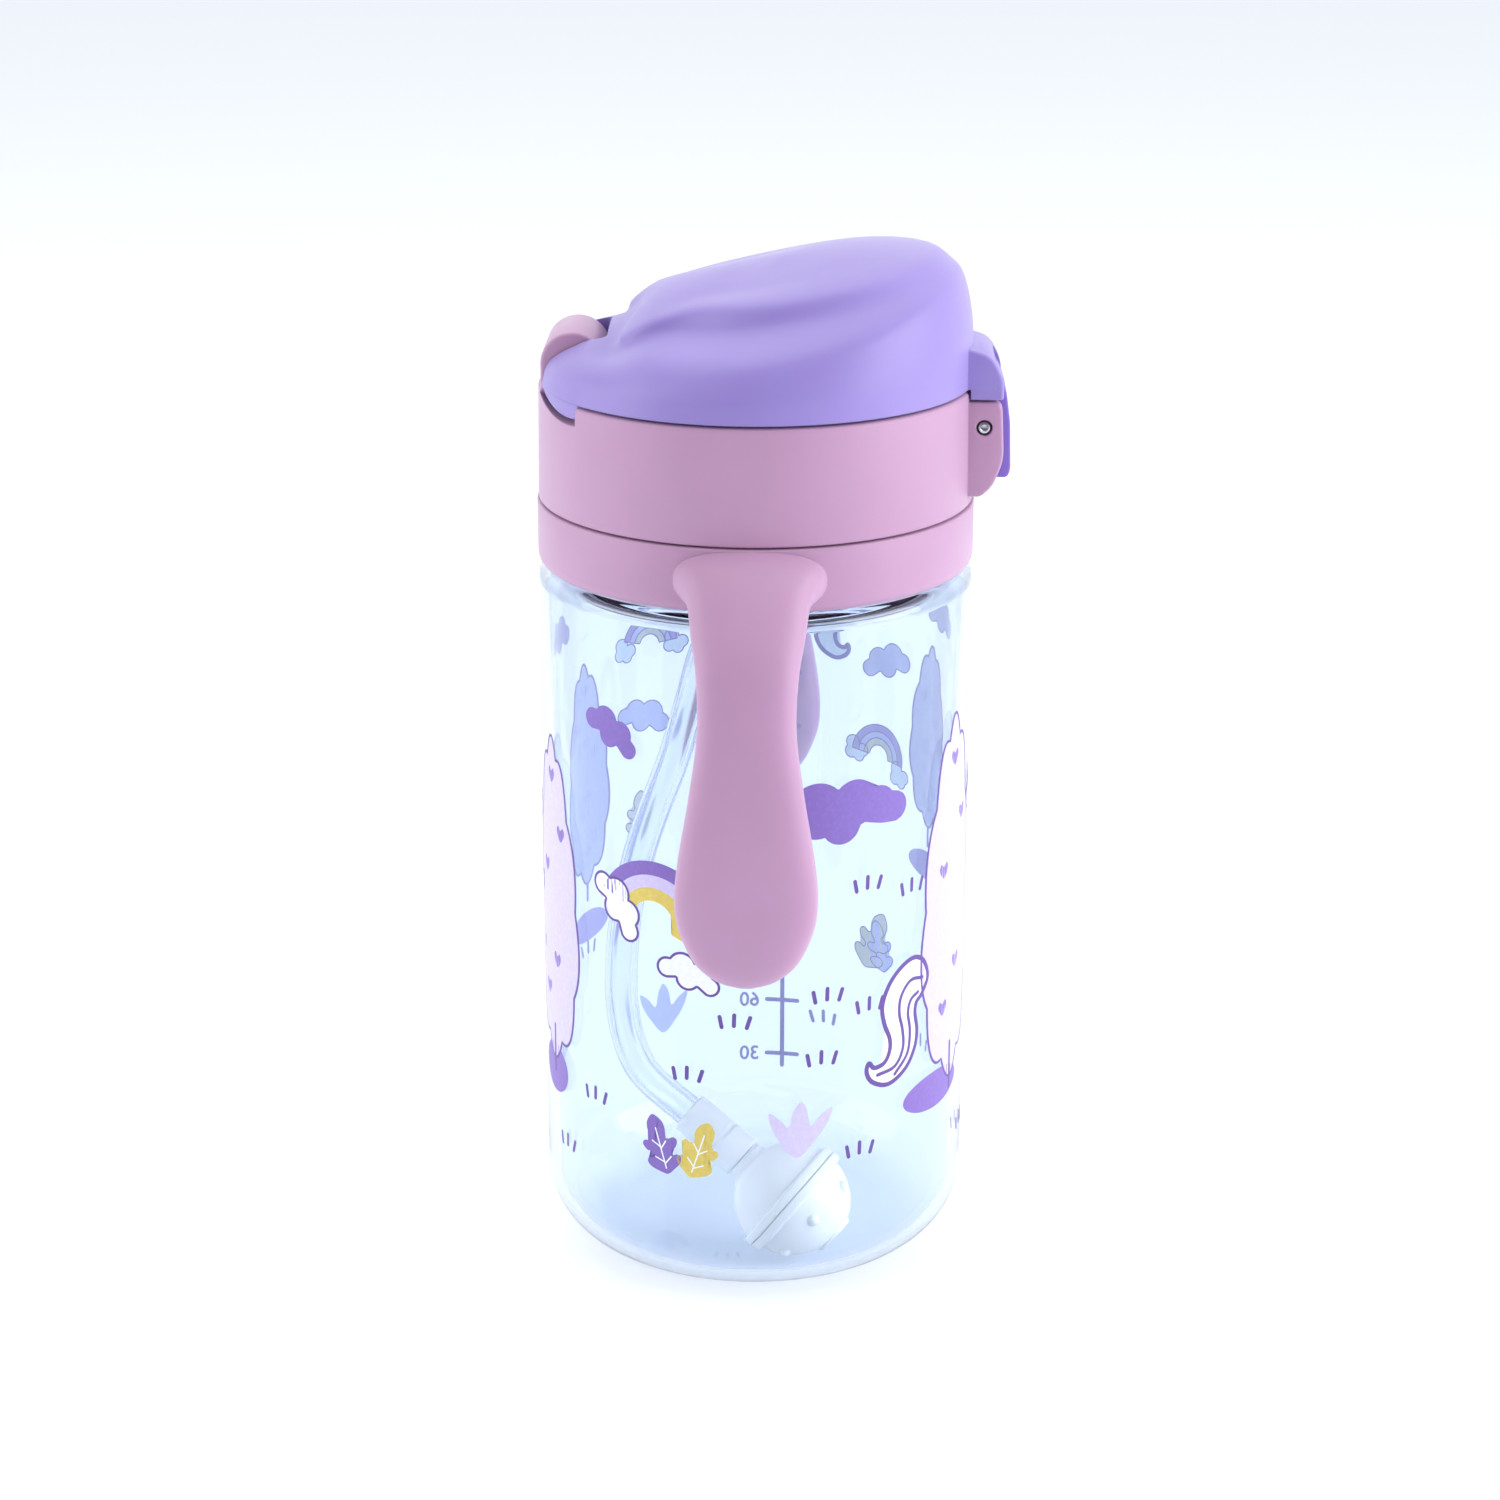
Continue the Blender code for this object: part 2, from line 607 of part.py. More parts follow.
def make_hinge_pin(finish):
    half = HINGE_PIN_LENGTH / 2
    rod_along_y("hinge_pin", HINGE_PIN_R, -half, half, HINGE_X, HINGE_Z, finish, chamfer=0.2 * MM)


# ---------------------------------------------------------------- latch

def make_latch(finish):
    inner = LATCH_X + 0.4 * MM
    outline = (
        (inner + 1.1 * MM, COLLAR_TOP - 15.0 * MM),
        (LATCH_X + 3.7 * MM, COLLAR_TOP - 15.0 * MM),
        (LATCH_X + 4.15 * MM, COLLAR_TOP - 13.9 * MM),
        (LATCH_X + 3.9 * MM, LATCH_Z),
        (LATCH_X + 3.35 * MM, COLLAR_TOP - 0.8 * MM),
        (LATCH_X + 2.5 * MM, COLLAR_TOP + 2.2 * MM),
        (LATCH_X + 1.35 * MM, COLLAR_TOP + 4.6 * MM),
        (inner - 0.05 * MM, COLLAR_TOP + 4.3 * MM),
        (inner - 0.05 * MM, COLLAR_TOP + 3.2 * MM),
        (inner + 0.9 * MM, COLLAR_TOP + 2.2 * MM),
        (inner + 0.9 * MM, LATCH_Z),
        (inner + 1.3 * MM, LATCH_Z - 2.0 * MM),
    )
    at = (LATCH_X, 0, LATCH_Z)
    lever = plate_along_y("latch_lever", outline, -LEVER_HALF, LEVER_HALF, finish, origin=at)
    knuckle = rod_along_y(
        "latch_knuckle", LEVER_KNUCKLE, -LEVER_HALF, LEVER_HALF, LATCH_X, LATCH_Z
    )
    boolean(lever, knuckle, "UNION")
    spring_half = 2.2 * MM
    spring_room = rod_along_y(
        "latch_spring_room", LEVER_KNUCKLE + 0.2 * MM, -spring_half, spring_half, LATCH_X, LATCH_Z
    )
    boolean(lever, spring_room, "DIFFERENCE")
    hole = rod_along_y(
        "lever_hole", LATCH_PIN_R + RUN, -LEVER_HALF - MM, LEVER_HALF + MM, LATCH_X, LATCH_Z
    )
    boolean(lever, hole, "DIFFERENCE")


def make_latch_pin(finish):
    half = EAR_HALF - 0.1 * MM
    rod_along_y("latch_pin", LATCH_PIN_R, -half, half, LATCH_X, LATCH_Z, finish, chamfer=0.2 * MM)


def make_springs(finish):
    half = BARREL_WIDTH / 2
    coil_along_y(
        "hinge_spring", 2.3 * MM, 0.35 * MM, 1.6 * MM, half - 0.9 * MM, 3, HINGE_X, HINGE_Z, finish
    )
    coil_along_y(
        "latch_spring", LATCH_PIN_R + 0.6 * MM, 0.22 * MM, -1.7 * MM, 1.7 * MM, 3, LATCH_X, LATCH_Z,
        finish,
    )


# ---------------------------------------------------------------- spout, plate and vent

def make_spout(finish):
    low = FLANGE_Z
    high = DECK_TOP + SPOUT_HEIGHT
    neck_r = SPOUT_R + 1.6 * MM - GAP
    flange_top = DECK_UNDER - GAP
    profile = [
        (SPOUT_BORE, low),
        (SPOUT_BORE, high - 0.6 * MM),
        (SPOUT_BORE + 0.6 * MM, high),
        (SPOUT_R - 1.4 * MM, high),
        (SPOUT_R - 0.4 * MM, high - 1.0 * MM),
        (SPOUT_R - 0.4 * MM, high - 2.6 * MM),
        (SPOUT_R - 1.2 * MM, high - 4.4 * MM),
        (SPOUT_R - 0.6 * MM, high - 9.0 * MM),
        (SPOUT_R, DECK_TOP + 2.6 * MM),
        (SPOUT_R + 2.6 * MM, DECK_TOP + 1.5 * MM),
        (SPOUT_R + 2.6 * MM, DECK_TOP + GAP),
        (neck_r, DECK_TOP + GAP),
        (neck_r, flange_top),
        (FLANGE_R, flange_top),
        (FLANGE_R, low),
    ]
    turned("spout", profile, finish, steps=24)


def make_nozzle_plate(finish):
    outer = PLUG_R - PLUG_WALL - GAP
    low = PLATE_Z
    high = PLATE_Z + PLATE_THICK
    bottom = low - SOCKET_DEPTH
    stop = STRAW_ROUTE[0].z + GAP
    profile = [
        (SOCKET_BORE, bottom),
        (SOCKET_BORE, stop),
        (SPOUT_BORE, stop),
        (SPOUT_BORE, high),
        (outer, high),
        (outer, low),
        (SOCKET_R, low),
        (SOCKET_R - 0.6 * MM, bottom),
    ]
    turned("nozzle_plate", profile, finish, steps=32)


def make_vent_valve(finish):
    stem = VENT_R / 2
    high = DECK_TOP + GAP + 0.9 * MM
    low = DECK_UNDER - GAP - 0.8 * MM
    profile = [
        (0, high),
        (VENT_R, high - 0.4 * MM),
        (VENT_R, DECK_TOP + GAP),
        (stem, DECK_TOP + GAP),
        (stem, DECK_UNDER - GAP),
        (VENT_R * 0.8, DECK_UNDER - GAP),
        (VENT_R * 0.8, low),
        (0, low),
    ]
    turned("vent_valve", profile, finish, steps=SMALL_STEPS, at=(VENT_X, 0, 0))


# ---------------------------------------------------------------- straw and weight

def weight_axis():
    """Unit vector along the weight, from its straw end to its far end."""
    flat = math.cos(WEIGHT_DIP)
    return Vector(
        (flat * math.cos(WEIGHT_TURN), flat * math.sin(WEIGHT_TURN), -math.sin(WEIGHT_DIP))
    )


def along_weight(distance):
    return WEIGHT_CENTRE + weight_axis() * distance


def lay_on_weight_axis(made):
    """Turns a piece that was made about Z so that its +Z points back up the straw."""
    made.rotation_mode = "QUATERNION"
    made.rotation_quaternion = (-weight_axis()).to_track_quat("Z", "Y")
    made.location = WEIGHT_CENTRE


def make_straw(finish):
    sleeve_mouth = WEIGHT_R + SLEEVE_LENGTH + 1.0 * MM
    straw_end = sleeve_mouth - STRAW_IN_SLEEVE
    route = [*STRAW_ROUTE, along_weight(-sleeve_mouth), along_weight(-straw_end)]
    curve = bpy.data.curves.new("straw_tube", "CURVE")
    curve.dimensions = "3D"
    curve.bevel_depth = STRAW_R
    curve.bevel_resolution = 2
    curve.use_fill_caps = True
    per_span = 1.5
    count = int((len(route) - 1) * per_span) + 1
    spline = curve.splines.new("POLY")
    spline.points.add(count - 1)
    for i, point in enumerate(spline.points):
        point.co = (*smooth_point(route, (len(route) - 1) * i / (count - 1)), 1)
    made = bpy.data.objects.new("straw_tube", curve)
    curve.materials.append(finish)
    PARTS.objects.link(made)


def make_sleeve(finish):
    near = WEIGHT_R + 1.0 * MM
    far = near + SLEEVE_LENGTH
    stop = far - STRAW_IN_SLEEVE - GAP
    profile = [
        (WEIGHT_FLOW, near),
        (WEIGHT_FLOW, stop),
        (SOCKET_BORE, stop),
        (SOCKET_BORE, far - 1.0 * MM),
        (SOCKET_BORE + 0.4 * MM, far),
        (SLEEVE_R - 0.3 * MM, far),
        (SLEEVE_R, far - 2.0 * MM),
        (SLEEVE_R, near),
    ]
    lay_on_weight_axis(turned("straw_connector", profile, finish, steps=SMALL_STEPS))


def half_shell(name, finish, neck_r, side):
    """One half of the ball; side is +1 for the straw's end. The halves meet at a flange."""
    flange_low = 0.65 * MM
    flange_high = 1.6 * MM
    inner = WEIGHT_R - WEIGHT_WALL
    end = WEIGHT_R + 0.7 * MM if side > 0 else WEIGHT_R * 0.98
    outer_start = math.degrees(math.asin(flange_high / WEIGHT_R))
    outer_end = math.degrees(math.acos(neck_r / WEIGHT_R))
    inner_start = math.degrees(math.asin(flange_low / inner))
    inner_end = math.degrees(math.acos(WEIGHT_FLOW / inner))
    points = arc((0, 0), inner, inner_start, inner_end, 4)
    points += [(WEIGHT_FLOW, end), (neck_r, end)]
    points += arc((0, 0), WEIGHT_R, outer_end, outer_start, 4)
    points += [(WEIGHT_FLANGE, flange_high), (WEIGHT_FLANGE, flange_low)]
    if side < 0:
        points = [(radius, -z) for radius, z in reversed(points)]
    lay_on_weight_axis(turned(name, points, finish, steps=24))


def make_weight(shell, steel, silicone):
    half_shell("weight_top_shell", shell, 3.4 * MM, 1)
    half_shell("weight_bottom_shell", shell, 3.4 * MM, -1)
    seal = 0.4 * MM
    ring = [(8.0 * MM, -seal), (8.0 * MM, seal), (9.4 * MM, seal), (9.4 * MM, -seal)]
    lay_on_weight_axis(turned("weight_seal", ring, silicone, steps=24))
    long = 4.0 * MM
    outer = 6.2 * MM
    inner = WEIGHT_FLOW + 0.6 * MM
    core = [(inner, -long), (inner, long), (outer, long), (outer, -long)]
    lay_on_weight_axis(turned("weight_core", core, steel, steps=24))


# ---------------------------------------------------------------- the object

clear_scene()
PARTS = collection("kids_water_bottle")
CUTTERS = collection("cutters", hidden=True)

CLEAR = material("clear_cup", (0.80, 0.88, 0.98), 0.06, alpha=0.3)
PINK = material("pink_plastic", (0.72, 0.46, 0.58), 0.42)
LAVENDER = material("lavender_plastic", (0.47, 0.38, 0.76), 0.38)
PURPLE = material("purple_plastic", (0.30, 0.20, 0.58), 0.38)
SILICONE = material("clear_silicone", (0.86, 0.92, 0.98), 0.35, alpha=0.6)
WHITE = material("white_plastic", (0.88, 0.92, 0.97), 0.4)
STEEL = material("steel", (0.62, 0.62, 0.64), 0.28, metallic=1.0)

make_cup(CLEAR)
make_handle_ring(PINK)
make_collar(PINK)
make_gasket(SILICONE)
make_cap(LAVENDER)
make_cap_stopper(SILICONE)
make_hinge_pin(STEEL)
make_latch(PURPLE)
make_latch_pin(STEEL)
make_springs(STEEL)
make_spout(SILICONE)
make_nozzle_plate(WHITE)
make_vent_valve(SILICONE)
make_straw(SILICONE)
make_sleeve(WHITE)
make_weight(WHITE, STEEL, SILICONE)
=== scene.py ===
# %% [markdown]
# # A child's straw bottle, made up for its portrait
#
# The measured parts of the bottle are already in the frame. Around them this lesson builds the fine
# surfaces: a clear cup with its printed pattern, a moulded ring with two handles, the screw lid, the
# sprung hood, the latch, and the soft straw with its weight. One step builds one group of pieces.

# %% the frame and the sizes that everything shares
import math

import bmesh
import bpy
from mathutils import Matrix, Vector


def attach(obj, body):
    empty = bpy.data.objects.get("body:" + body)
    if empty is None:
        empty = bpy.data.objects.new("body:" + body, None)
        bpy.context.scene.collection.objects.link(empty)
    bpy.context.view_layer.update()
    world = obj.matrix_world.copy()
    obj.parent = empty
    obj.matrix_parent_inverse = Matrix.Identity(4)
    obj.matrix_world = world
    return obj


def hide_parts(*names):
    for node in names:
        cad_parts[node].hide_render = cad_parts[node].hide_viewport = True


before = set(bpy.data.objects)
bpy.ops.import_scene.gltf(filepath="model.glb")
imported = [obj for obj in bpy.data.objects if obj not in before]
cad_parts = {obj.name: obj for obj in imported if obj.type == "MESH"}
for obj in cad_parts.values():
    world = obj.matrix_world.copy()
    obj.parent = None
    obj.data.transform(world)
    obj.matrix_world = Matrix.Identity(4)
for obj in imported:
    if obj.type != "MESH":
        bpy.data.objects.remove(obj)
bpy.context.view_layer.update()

MM = 0.001
CUP_R = 33.0 * MM
CUP_WALL = 1.8 * MM
SHOULDER_Z = 110.1 * MM
NECK_TOP = 131.5 * MM
RING_Z = 110.4 * MM
RING_TOP = 120.2 * MM
RING_BORE = 29.6 * MM
COLLAR_Z = 120.5 * MM
COLLAR_TOP = 137.8 * MM
COLLAR_R = 32.8 * MM
DECK_TOP = 135.6 * MM
DECK_UNDER = 133.5 * MM
HINGE_X = -27.0 * MM
HINGE_Z = 141.3 * MM
BARREL_R = 4.8 * MM
ARM_R = 5.4 * MM
ARM_ROOM_R = 6.35 * MM
CAP_R = 32.5 * MM
CAP_Z = 138.2 * MM
CAP_RISE = 17.7 * MM
VENT_X = 15.5 * MM
VENT_R = 1.3 * MM
LATCH_X = 34.05 * MM
LATCH_Z = 132.5 * MM
STRAW_R = 2.5 * MM
STRAW_BORE_R = 1.55 * MM

# %% [markdown]
# ## Camera
#
# The bottle stands a little more than half a metre away and the camera looks down on it by 18 degrees,
# from just right of the front handle. A long lens keeps the upright sides almost parallel.

# %% camera
CAMERA_AWAY = 529.3 * MM
CAMERA_HEIGHT = 256.2 * MM
CAMERA_ROUND = math.radians(1.5)
CAMERA_DOWN = math.radians(18.49)
CAMERA_ASIDE = math.radians(0.084)
CAMERA_ROLL = math.radians(0.12)

camera = bpy.data.objects.new("camera", bpy.data.cameras.new("camera"))
camera.data.lens = 86.4
camera.data.sensor_width = 36.0
camera.data.clip_start = 0.01
camera.location = (
    CAMERA_AWAY * math.sin(CAMERA_ROUND), -CAMERA_AWAY * math.cos(CAMERA_ROUND), CAMERA_HEIGHT
)
camera.rotation_euler = (
    Matrix.Rotation(CAMERA_ROUND + CAMERA_ASIDE, 3, "Z")
    @ Matrix.Rotation(math.pi / 2 - CAMERA_DOWN, 3, "X")
    @ Matrix.Rotation(CAMERA_ROLL, 3, "Z")
).to_euler()
bpy.context.scene.collection.objects.link(camera)
bpy.context.scene.camera = camera
print("camera", round(camera.data.lens, 1), "mm")

# %% [markdown]
# ## Tools for materials
#
# `Wire` holds one output of a shader node, so that a formula can be written with +, - and *.
# `Finish` is one material: constants go straight onto its Principled shader, and a wire goes where
# the surface varies.

# %% tools for materials
class Wire:
    """One output of a shader node. Arithmetic on it adds a Math node."""

    def __init__(self, finish, socket):
        self.finish = finish
        self.socket = socket

    def maths(self, operation, *values):
        return self.finish.node("Math", {"operation": operation}, dict(enumerate(values)))

    def __add__(self, other):
        return self.maths("ADD", self, other)

    def __radd__(self, other):
        return self.maths("ADD", other, self)

    def __sub__(self, other):
        return self.maths("SUBTRACT", self, other)

    def __rsub__(self, other):
        return self.maths("SUBTRACT", other, self)

    def __mul__(self, other):
        return self.maths("MULTIPLY", self, other)

    def __rmul__(self, other):
        return self.maths("MULTIPLY", other, self)

    def over(self, low, high):
        """0 below low, 1 above high, and a smooth step between."""
        settings = {"interpolation_type": "SMOOTHSTEP"}
        return self.finish.node("MapRange", settings, {0: self, 1: low, 2: high})


class Finish:
    """One material, with a Principled shader."""

    def __init__(self, name, constants):
        self.material = bpy.data.materials.new(name)
        self.material.use_nodes = True
        self.tree = self.material.node_tree
        self.shader = self.tree.nodes["Principled BSDF"]
        for socket, value in constants.items():
            self.feed(self.shader.inputs[socket], value)

    def feed(self, socket, value):
        if isinstance(value, Wire):
            self.tree.links.new(value.socket, socket)
        else:
            socket.default_value = value

    def vary(self, socket, value):
        self.feed(self.shader.inputs[socket], value)

    def node(self, kind, settings=None, sockets=None, output=0):
        made = self.tree.nodes.new("ShaderNode" + kind)
        for key, value in (settings or {}).items():
            setattr(made, key, value)
        for key, value in (sockets or {}).items():
            self.feed(made.inputs[key], value)
        return Wire(self, made.outputs[output])

    def mix(self, amount, first, second):
        """A colour between two, by an amount from 0 to 1."""
        return self.node("Mix", {"data_type": "RGBA"}, {0: amount, 6: first, 7: second}, 2)

    def noise(self, scale, detail=2.0, roughness=0.5):
        """Noise from 0 to 1 through the solid; scale is in cells to the metre."""
        place = self.node("TexCoord", output=3)
        sockets = {"Vector": place, "Scale": scale, "Detail": detail, "Roughness": roughness}
        return self.node("TexNoise", {}, sockets)

    def bump(self, height, strength, distance, edge=0.0):
        """Small relief in the surface; edge is the radius that sharp corners seem to have."""
        sockets = {"Height": height, "Strength": strength, "Distance": distance}
        if edge:
            sockets["Normal"] = self.node("Bevel", {"samples": 4}, {"Radius": edge})
        self.vary("Normal", self.node("Bump", {}, sockets))


def colour(text, gain=1.0):
    """A screen colour such as "C8A0D2" as the linear values that a shader takes."""
    parts = [int(text[i:i + 2], 16) / 255 for i in (0, 2, 4)]
    linear = [p / 12.92 if p <= 0.04045 else ((p + 0.055) / 1.055) ** 2.4 for p in parts]
    return (*[gain * value for value in linear], 1.0)


print("material tools ready")

# %% [markdown]
# ## Materials
#
# The coloured plastics share one recipe: a spark-eroded grain, a faint cloudiness of the pigment, and
# handled places that are a little smoother. Clear plastic and silicone let the lamps through, so that
# the straw inside is lit as it would be in a studio tent.

# %% materials
def moulded(name, pigment, roughness, grain=0.28, edge=0.35 * MM, sheen=0.0, glow=0.04):
    """Opaque moulded plastic."""
    made = Finish(name, {
        "IOR": 1.46,
        "Subsurface Weight": glow,
        "Subsurface Radius": (1.0, 0.7, 0.8),
        "Subsurface Scale": 1.2 * MM,
        "Sheen Weight": sheen,
        "Sheen Roughness": 0.5,
    })
    cloudy = made.noise(60.0, 3.0)
    wear = made.noise(420.0, 4.0, 0.6).over(0.56, 0.72)
    fine = made.noise(5200.0, 2.0, 0.7)
    paler = tuple(min(1.0, c * 1.02) for c in pigment[:3]) + (1.0,)
    darker = tuple(c * 0.985 for c in pigment[:3]) + (1.0,)
    made.vary("Base Color", made.mix(cloudy.over(0.35, 0.65), darker, paler))
    made.vary("Roughness", roughness + (fine - 0.5) * 0.10 - wear * 0.05)
    made.bump(fine, grain, 0.03 * MM, edge)
    return made.material


def clear(name, tint, roughness, ior, ripple):
    """Clear plastic or silicone. Lamps shine through it without being bent."""
    made = Finish(name, {"Base Color": tint, "IOR": ior, "Transmission Weight": 1.0})
    flow = made.noise(34.0, 2.0)
    scuffs = made.noise(900.0, 5.0, 0.65).over(0.60, 0.80)
    made.vary("Roughness", roughness + scuffs * 0.05)
    made.bump(flow, ripple, 0.4 * MM)
    shadow = made.node("LightPath", output=1)
    through = made.node("BsdfTransparent", {}, {"Color": (1.0, 1.0, 1.0, 1.0)})
    surface = Wire(made, made.shader.outputs[0])
    mixed = made.node("MixShader", {}, {0: shadow, 1: surface, 2: through})
    made.tree.links.new(mixed.socket, made.tree.nodes["Material Output"].inputs["Surface"])
    return made.material


def metal(name, tint, roughness):
    """Turned steel with fine tool marks."""
    made = Finish(name, {"Metallic": 1.0})
    marks = made.noise(2600.0, 3.0, 0.7)
    made.vary("Base Color", made.mix(marks, tint, tuple(c * 0.8 for c in tint[:3]) + (1.0,)))
    made.vary("Roughness", roughness + marks * 0.15)
    made.bump(marks, 0.15, 0.01 * MM)
    return made.material


def ink(name, pigment, painted_glow=0.0):
    """Screen-printing ink: flat, with a faint mottle where the mesh left it thin; painted_glow is
    painted light, an even glow that stands in for lamp light coming through the ink.
    """
    made = Finish(name, {"IOR": 1.4, "Emission Color": pigment, "Emission Strength": painted_glow})
    mottle = made.noise(1500.0, 2.0)
    thin = tuple(min(1.0, c * 1.08) for c in pigment[:3]) + (1.0,)
    made.vary("Base Color", made.mix(mottle.over(0.4, 0.7), pigment, thin))
    made.vary("Roughness", 0.42 + (mottle - 0.5) * 0.1)
    made.bump(mottle, 0.1, 0.01 * MM)
    return made.material


PINK = moulded("pink_plastic_grained", colour("B98EB2"), 0.42, sheen=0.24)
LAVENDER = moulded("lavender_plastic_grained", colour("9481C9"), 0.37, sheen=0.22)
PURPLE = moulded("purple_plastic_grained", colour("7F64C2"), 0.42)
WHITE = moulded("white_plastic_polished", colour("FBFDFF"), 0.24, grain=0.1, glow=0.1)
SOFT = moulded("milky_silicone", colour("E4ECF8"), 0.38, grain=0.12, glow=0.5)
CLEAR = clear("clear_plastic", colour("E6EFFB"), 0.015, 1.50, 0.015)
TUBE = clear("clear_silicone_tube", colour("FBFDFF"), 0.14, 1.38, 0.02)
STEEL = metal("turned_steel", colour("C9C9D2"), 0.22)
INK_PURPLE = ink("ink_purple", colour("866CBE"))
INK_LILAC = ink("ink_lilac", colour("D2C8EF"))
INK_YELLOW = ink("ink_yellow", colour("DCC766"))
INK_LINE = ink("ink_line", colour("6A4F9C"))
INK_WHITE = ink("ink_white", colour("F4F8FF"))
# The backs of the prints are paler for their white underlay; their glow of 0.22 is painted light that
# stands in for lamp light coming through the cup and the ink.
BACK_PURPLE = ink("ink_purple_seen_from_behind", colour("B3A6DC"), 0.22)
BACK_LILAC = ink("ink_lilac_seen_from_behind", colour("C9CCEF"), 0.22)
BACK_YELLOW = ink("ink_yellow_seen_from_behind", colour("D6D8D0"), 0.22)
BACK_WHITE = ink("ink_white_seen_from_behind", colour("E8F0FC"), 0.22)
BACK_LINE = ink("ink_line_seen_from_behind", colour("9488C0"), 0.22)
print(len(bpy.data.materials), "materials")

# %% [markdown]
# ## Tools that finish a piece
#
# A mesh becomes an object, gets its finish and moves with a body of the frame. Unions and cuts are
# worked out once and then kept as plain meshes, so that nothing is left to go wrong later.

# %% tools that finish a piece
def piece(name, bm, body, finish, crease=32.0):
    """Puts a finished mesh in the scene and lets it move with a body of the frame."""
    made = loose(name, bm)
    finish_off(made, body, finish, crease)
    return made


def loose(name, bm):
    """A mesh object that is still to be joined or cut."""
    bmesh.ops.recalc_face_normals(bm, faces=bm.faces)
    mesh = bpy.data.meshes.new(name)
    bm.to_mesh(mesh)
    bm.free()
    made = bpy.data.objects.new(name, mesh)
    bpy.context.scene.collection.objects.link(made)
    return made


def finish_off(made, body, finish, crease=32.0):
    made.data.materials.clear()
    made.data.materials.append(finish)
    made.data.shade_smooth()
    made.data.set_sharp_from_angle(angle=math.radians(crease))
    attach(made, body)


def combine(target, steps):
    """Joins and cuts the target in order, keeps the result as its mesh, and removes the tools."""
    for operation, tool in steps:
        cut = target.modifiers.new(tool.name, "BOOLEAN")
        cut.operation = operation
        cut.object = tool
        cut.solver = "EXACT"
    graph = bpy.context.evaluated_depsgraph_get()
    whole = bpy.data.meshes.new_from_object(target.evaluated_get(graph))
    target.modifiers.clear()
    target.data = whole
    for tool in {tool for _, tool in steps}:
        bpy.data.objects.remove(tool)
    return target


print("finishing tools ready")

# %% [markdown]
# ## Turned, flat and straight shapes
#
# Turned pieces are a profile spun round the upright axis, and plates are an outline pushed along Y
# with its rims rounded, as a moulding has them. A rod is a round plate.

# %% turned, flat and straight shapes
def turned(profile, steps=96):
    """Spins (radius, height) points once round Z; a profile that starts off the axis is closed."""
    bm = bmesh.new()
    points = [bm.verts.new((radius, 0, z)) for radius, z in profile]
    chain = [bm.edges.new(pair) for pair in zip(points, points[1:])]
    if profile[0][0] > 0:
        chain.append(bm.edges.new((points[-1], points[0])))
    bmesh.ops.spin(
        bm, geom=points + chain, cent=(0, 0, 0), axis=(0, 0, 1), angle=math.tau, steps=steps,
        use_merge=True,
    )
    bmesh.ops.remove_doubles(bm, verts=bm.verts, dist=1e-6)
    return bm


def arc(centre, radius, start, end, count):
    """Points of an arc, angles in degrees."""
    angles = [math.radians(start + (end - start) * i / count) for i in range(count + 1)]
    return [(centre[0] + radius * math.cos(a), centre[1] + radius * math.sin(a)) for a in angles]


def rounded(corners, radius, count=4):
    """The closed outline with each corner rounded; radius may be one value or one a corner."""
    radii = radius if isinstance(radius, (list, tuple)) else [radius] * len(corners)
    outline = []
    for i, corner in enumerate(corners):
        here = Vector(corner)
        before = Vector(corners[i - 1]) - here
        after = Vector(corners[(i + 1) % len(corners)]) - here
        reach = min(radii[i], 0.45 * before.length, 0.45 * after.length)
        if reach <= 0:
            outline.append(tuple(here))
            continue
        first = here + before.normalized() * reach
        last = here + after.normalized() * reach
        for k in range(count + 1):
            t = k / count
            outline.append(tuple((1 - t) ** 2 * first + 2 * t * (1 - t) * here + t * t * last))
    return outline


def plate(outline, low_y, high_y, edge=0.0):
    """An outline of (x, z) points pushed from low_y to high_y, with its rims rounded off."""
    bm = bmesh.new()
    face = bm.faces.new([bm.verts.new((x, low_y, z)) for x, z in outline])
    grown = bmesh.ops.extrude_face_region(bm, geom=[face])
    moved = [v for v in grown["geom"] if isinstance(v, bmesh.types.BMVert)]
    bmesh.ops.translate(bm, vec=(0, high_y - low_y, 0), verts=moved)
    if edge:
        rims = [e for e in bm.edges if abs(e.verts[0].co.y - e.verts[1].co.y) < 1e-7]
        bmesh.ops.bevel(
            bm, geom=rims, offset=edge, segments=3, profile=0.5, affect="EDGES", material=-1
        )
    return bm


def rod(radius, low_y, high_y, x, z, steps=48, edge=0.0):
    """A cylinder along Y through (x, z)."""
    outline = arc((x, z), radius, 0, 360 - 360 / steps, steps - 1)
    return plate(outline, low_y, high_y, edge)


def block(low, high, edge=0.0):
    bm = bmesh.new()
    bmesh.ops.create_cube(bm, size=1.0)
    bmesh.ops.scale(bm, vec=Vector(high) - Vector(low), verts=bm.verts)
    bmesh.ops.translate(bm, vec=(Vector(high) + Vector(low)) / 2, verts=bm.verts)
    if edge:
        bmesh.ops.bevel(
            bm, geom=bm.edges[:], offset=edge, segments=4, profile=0.5, affect="EDGES", material=-1
        )
    return bm


print("outline tools ready")

# %% [markdown]
# ## Lofts and tubes
#
# A form that changes along its length is a loft: rings of points, bridged one to the next. A few
# stations and a smooth curve through them are easier to shape than every ring by hand.

# %% lofts and tubes
def edge_ring(bm, points):
    """Joins new vertices in a ring and gives its edges."""
    corners = [bm.verts.new(point) for point in points]
    return [bm.edges.new((corners[i - 1], corners[i])) for i in range(len(corners))]


def loft(rings):
    """A closed body through rings that have the same number of points."""
    bm = bmesh.new()
    loops = [edge_ring(bm, ring) for ring in rings]
    for near, far in zip(loops, loops[1:]):
        bmesh.ops.bridge_loops(bm, edges=near + far)
    for end in (loops[0], loops[-1]):
        bmesh.ops.contextual_create(bm, geom=end)
    return bm


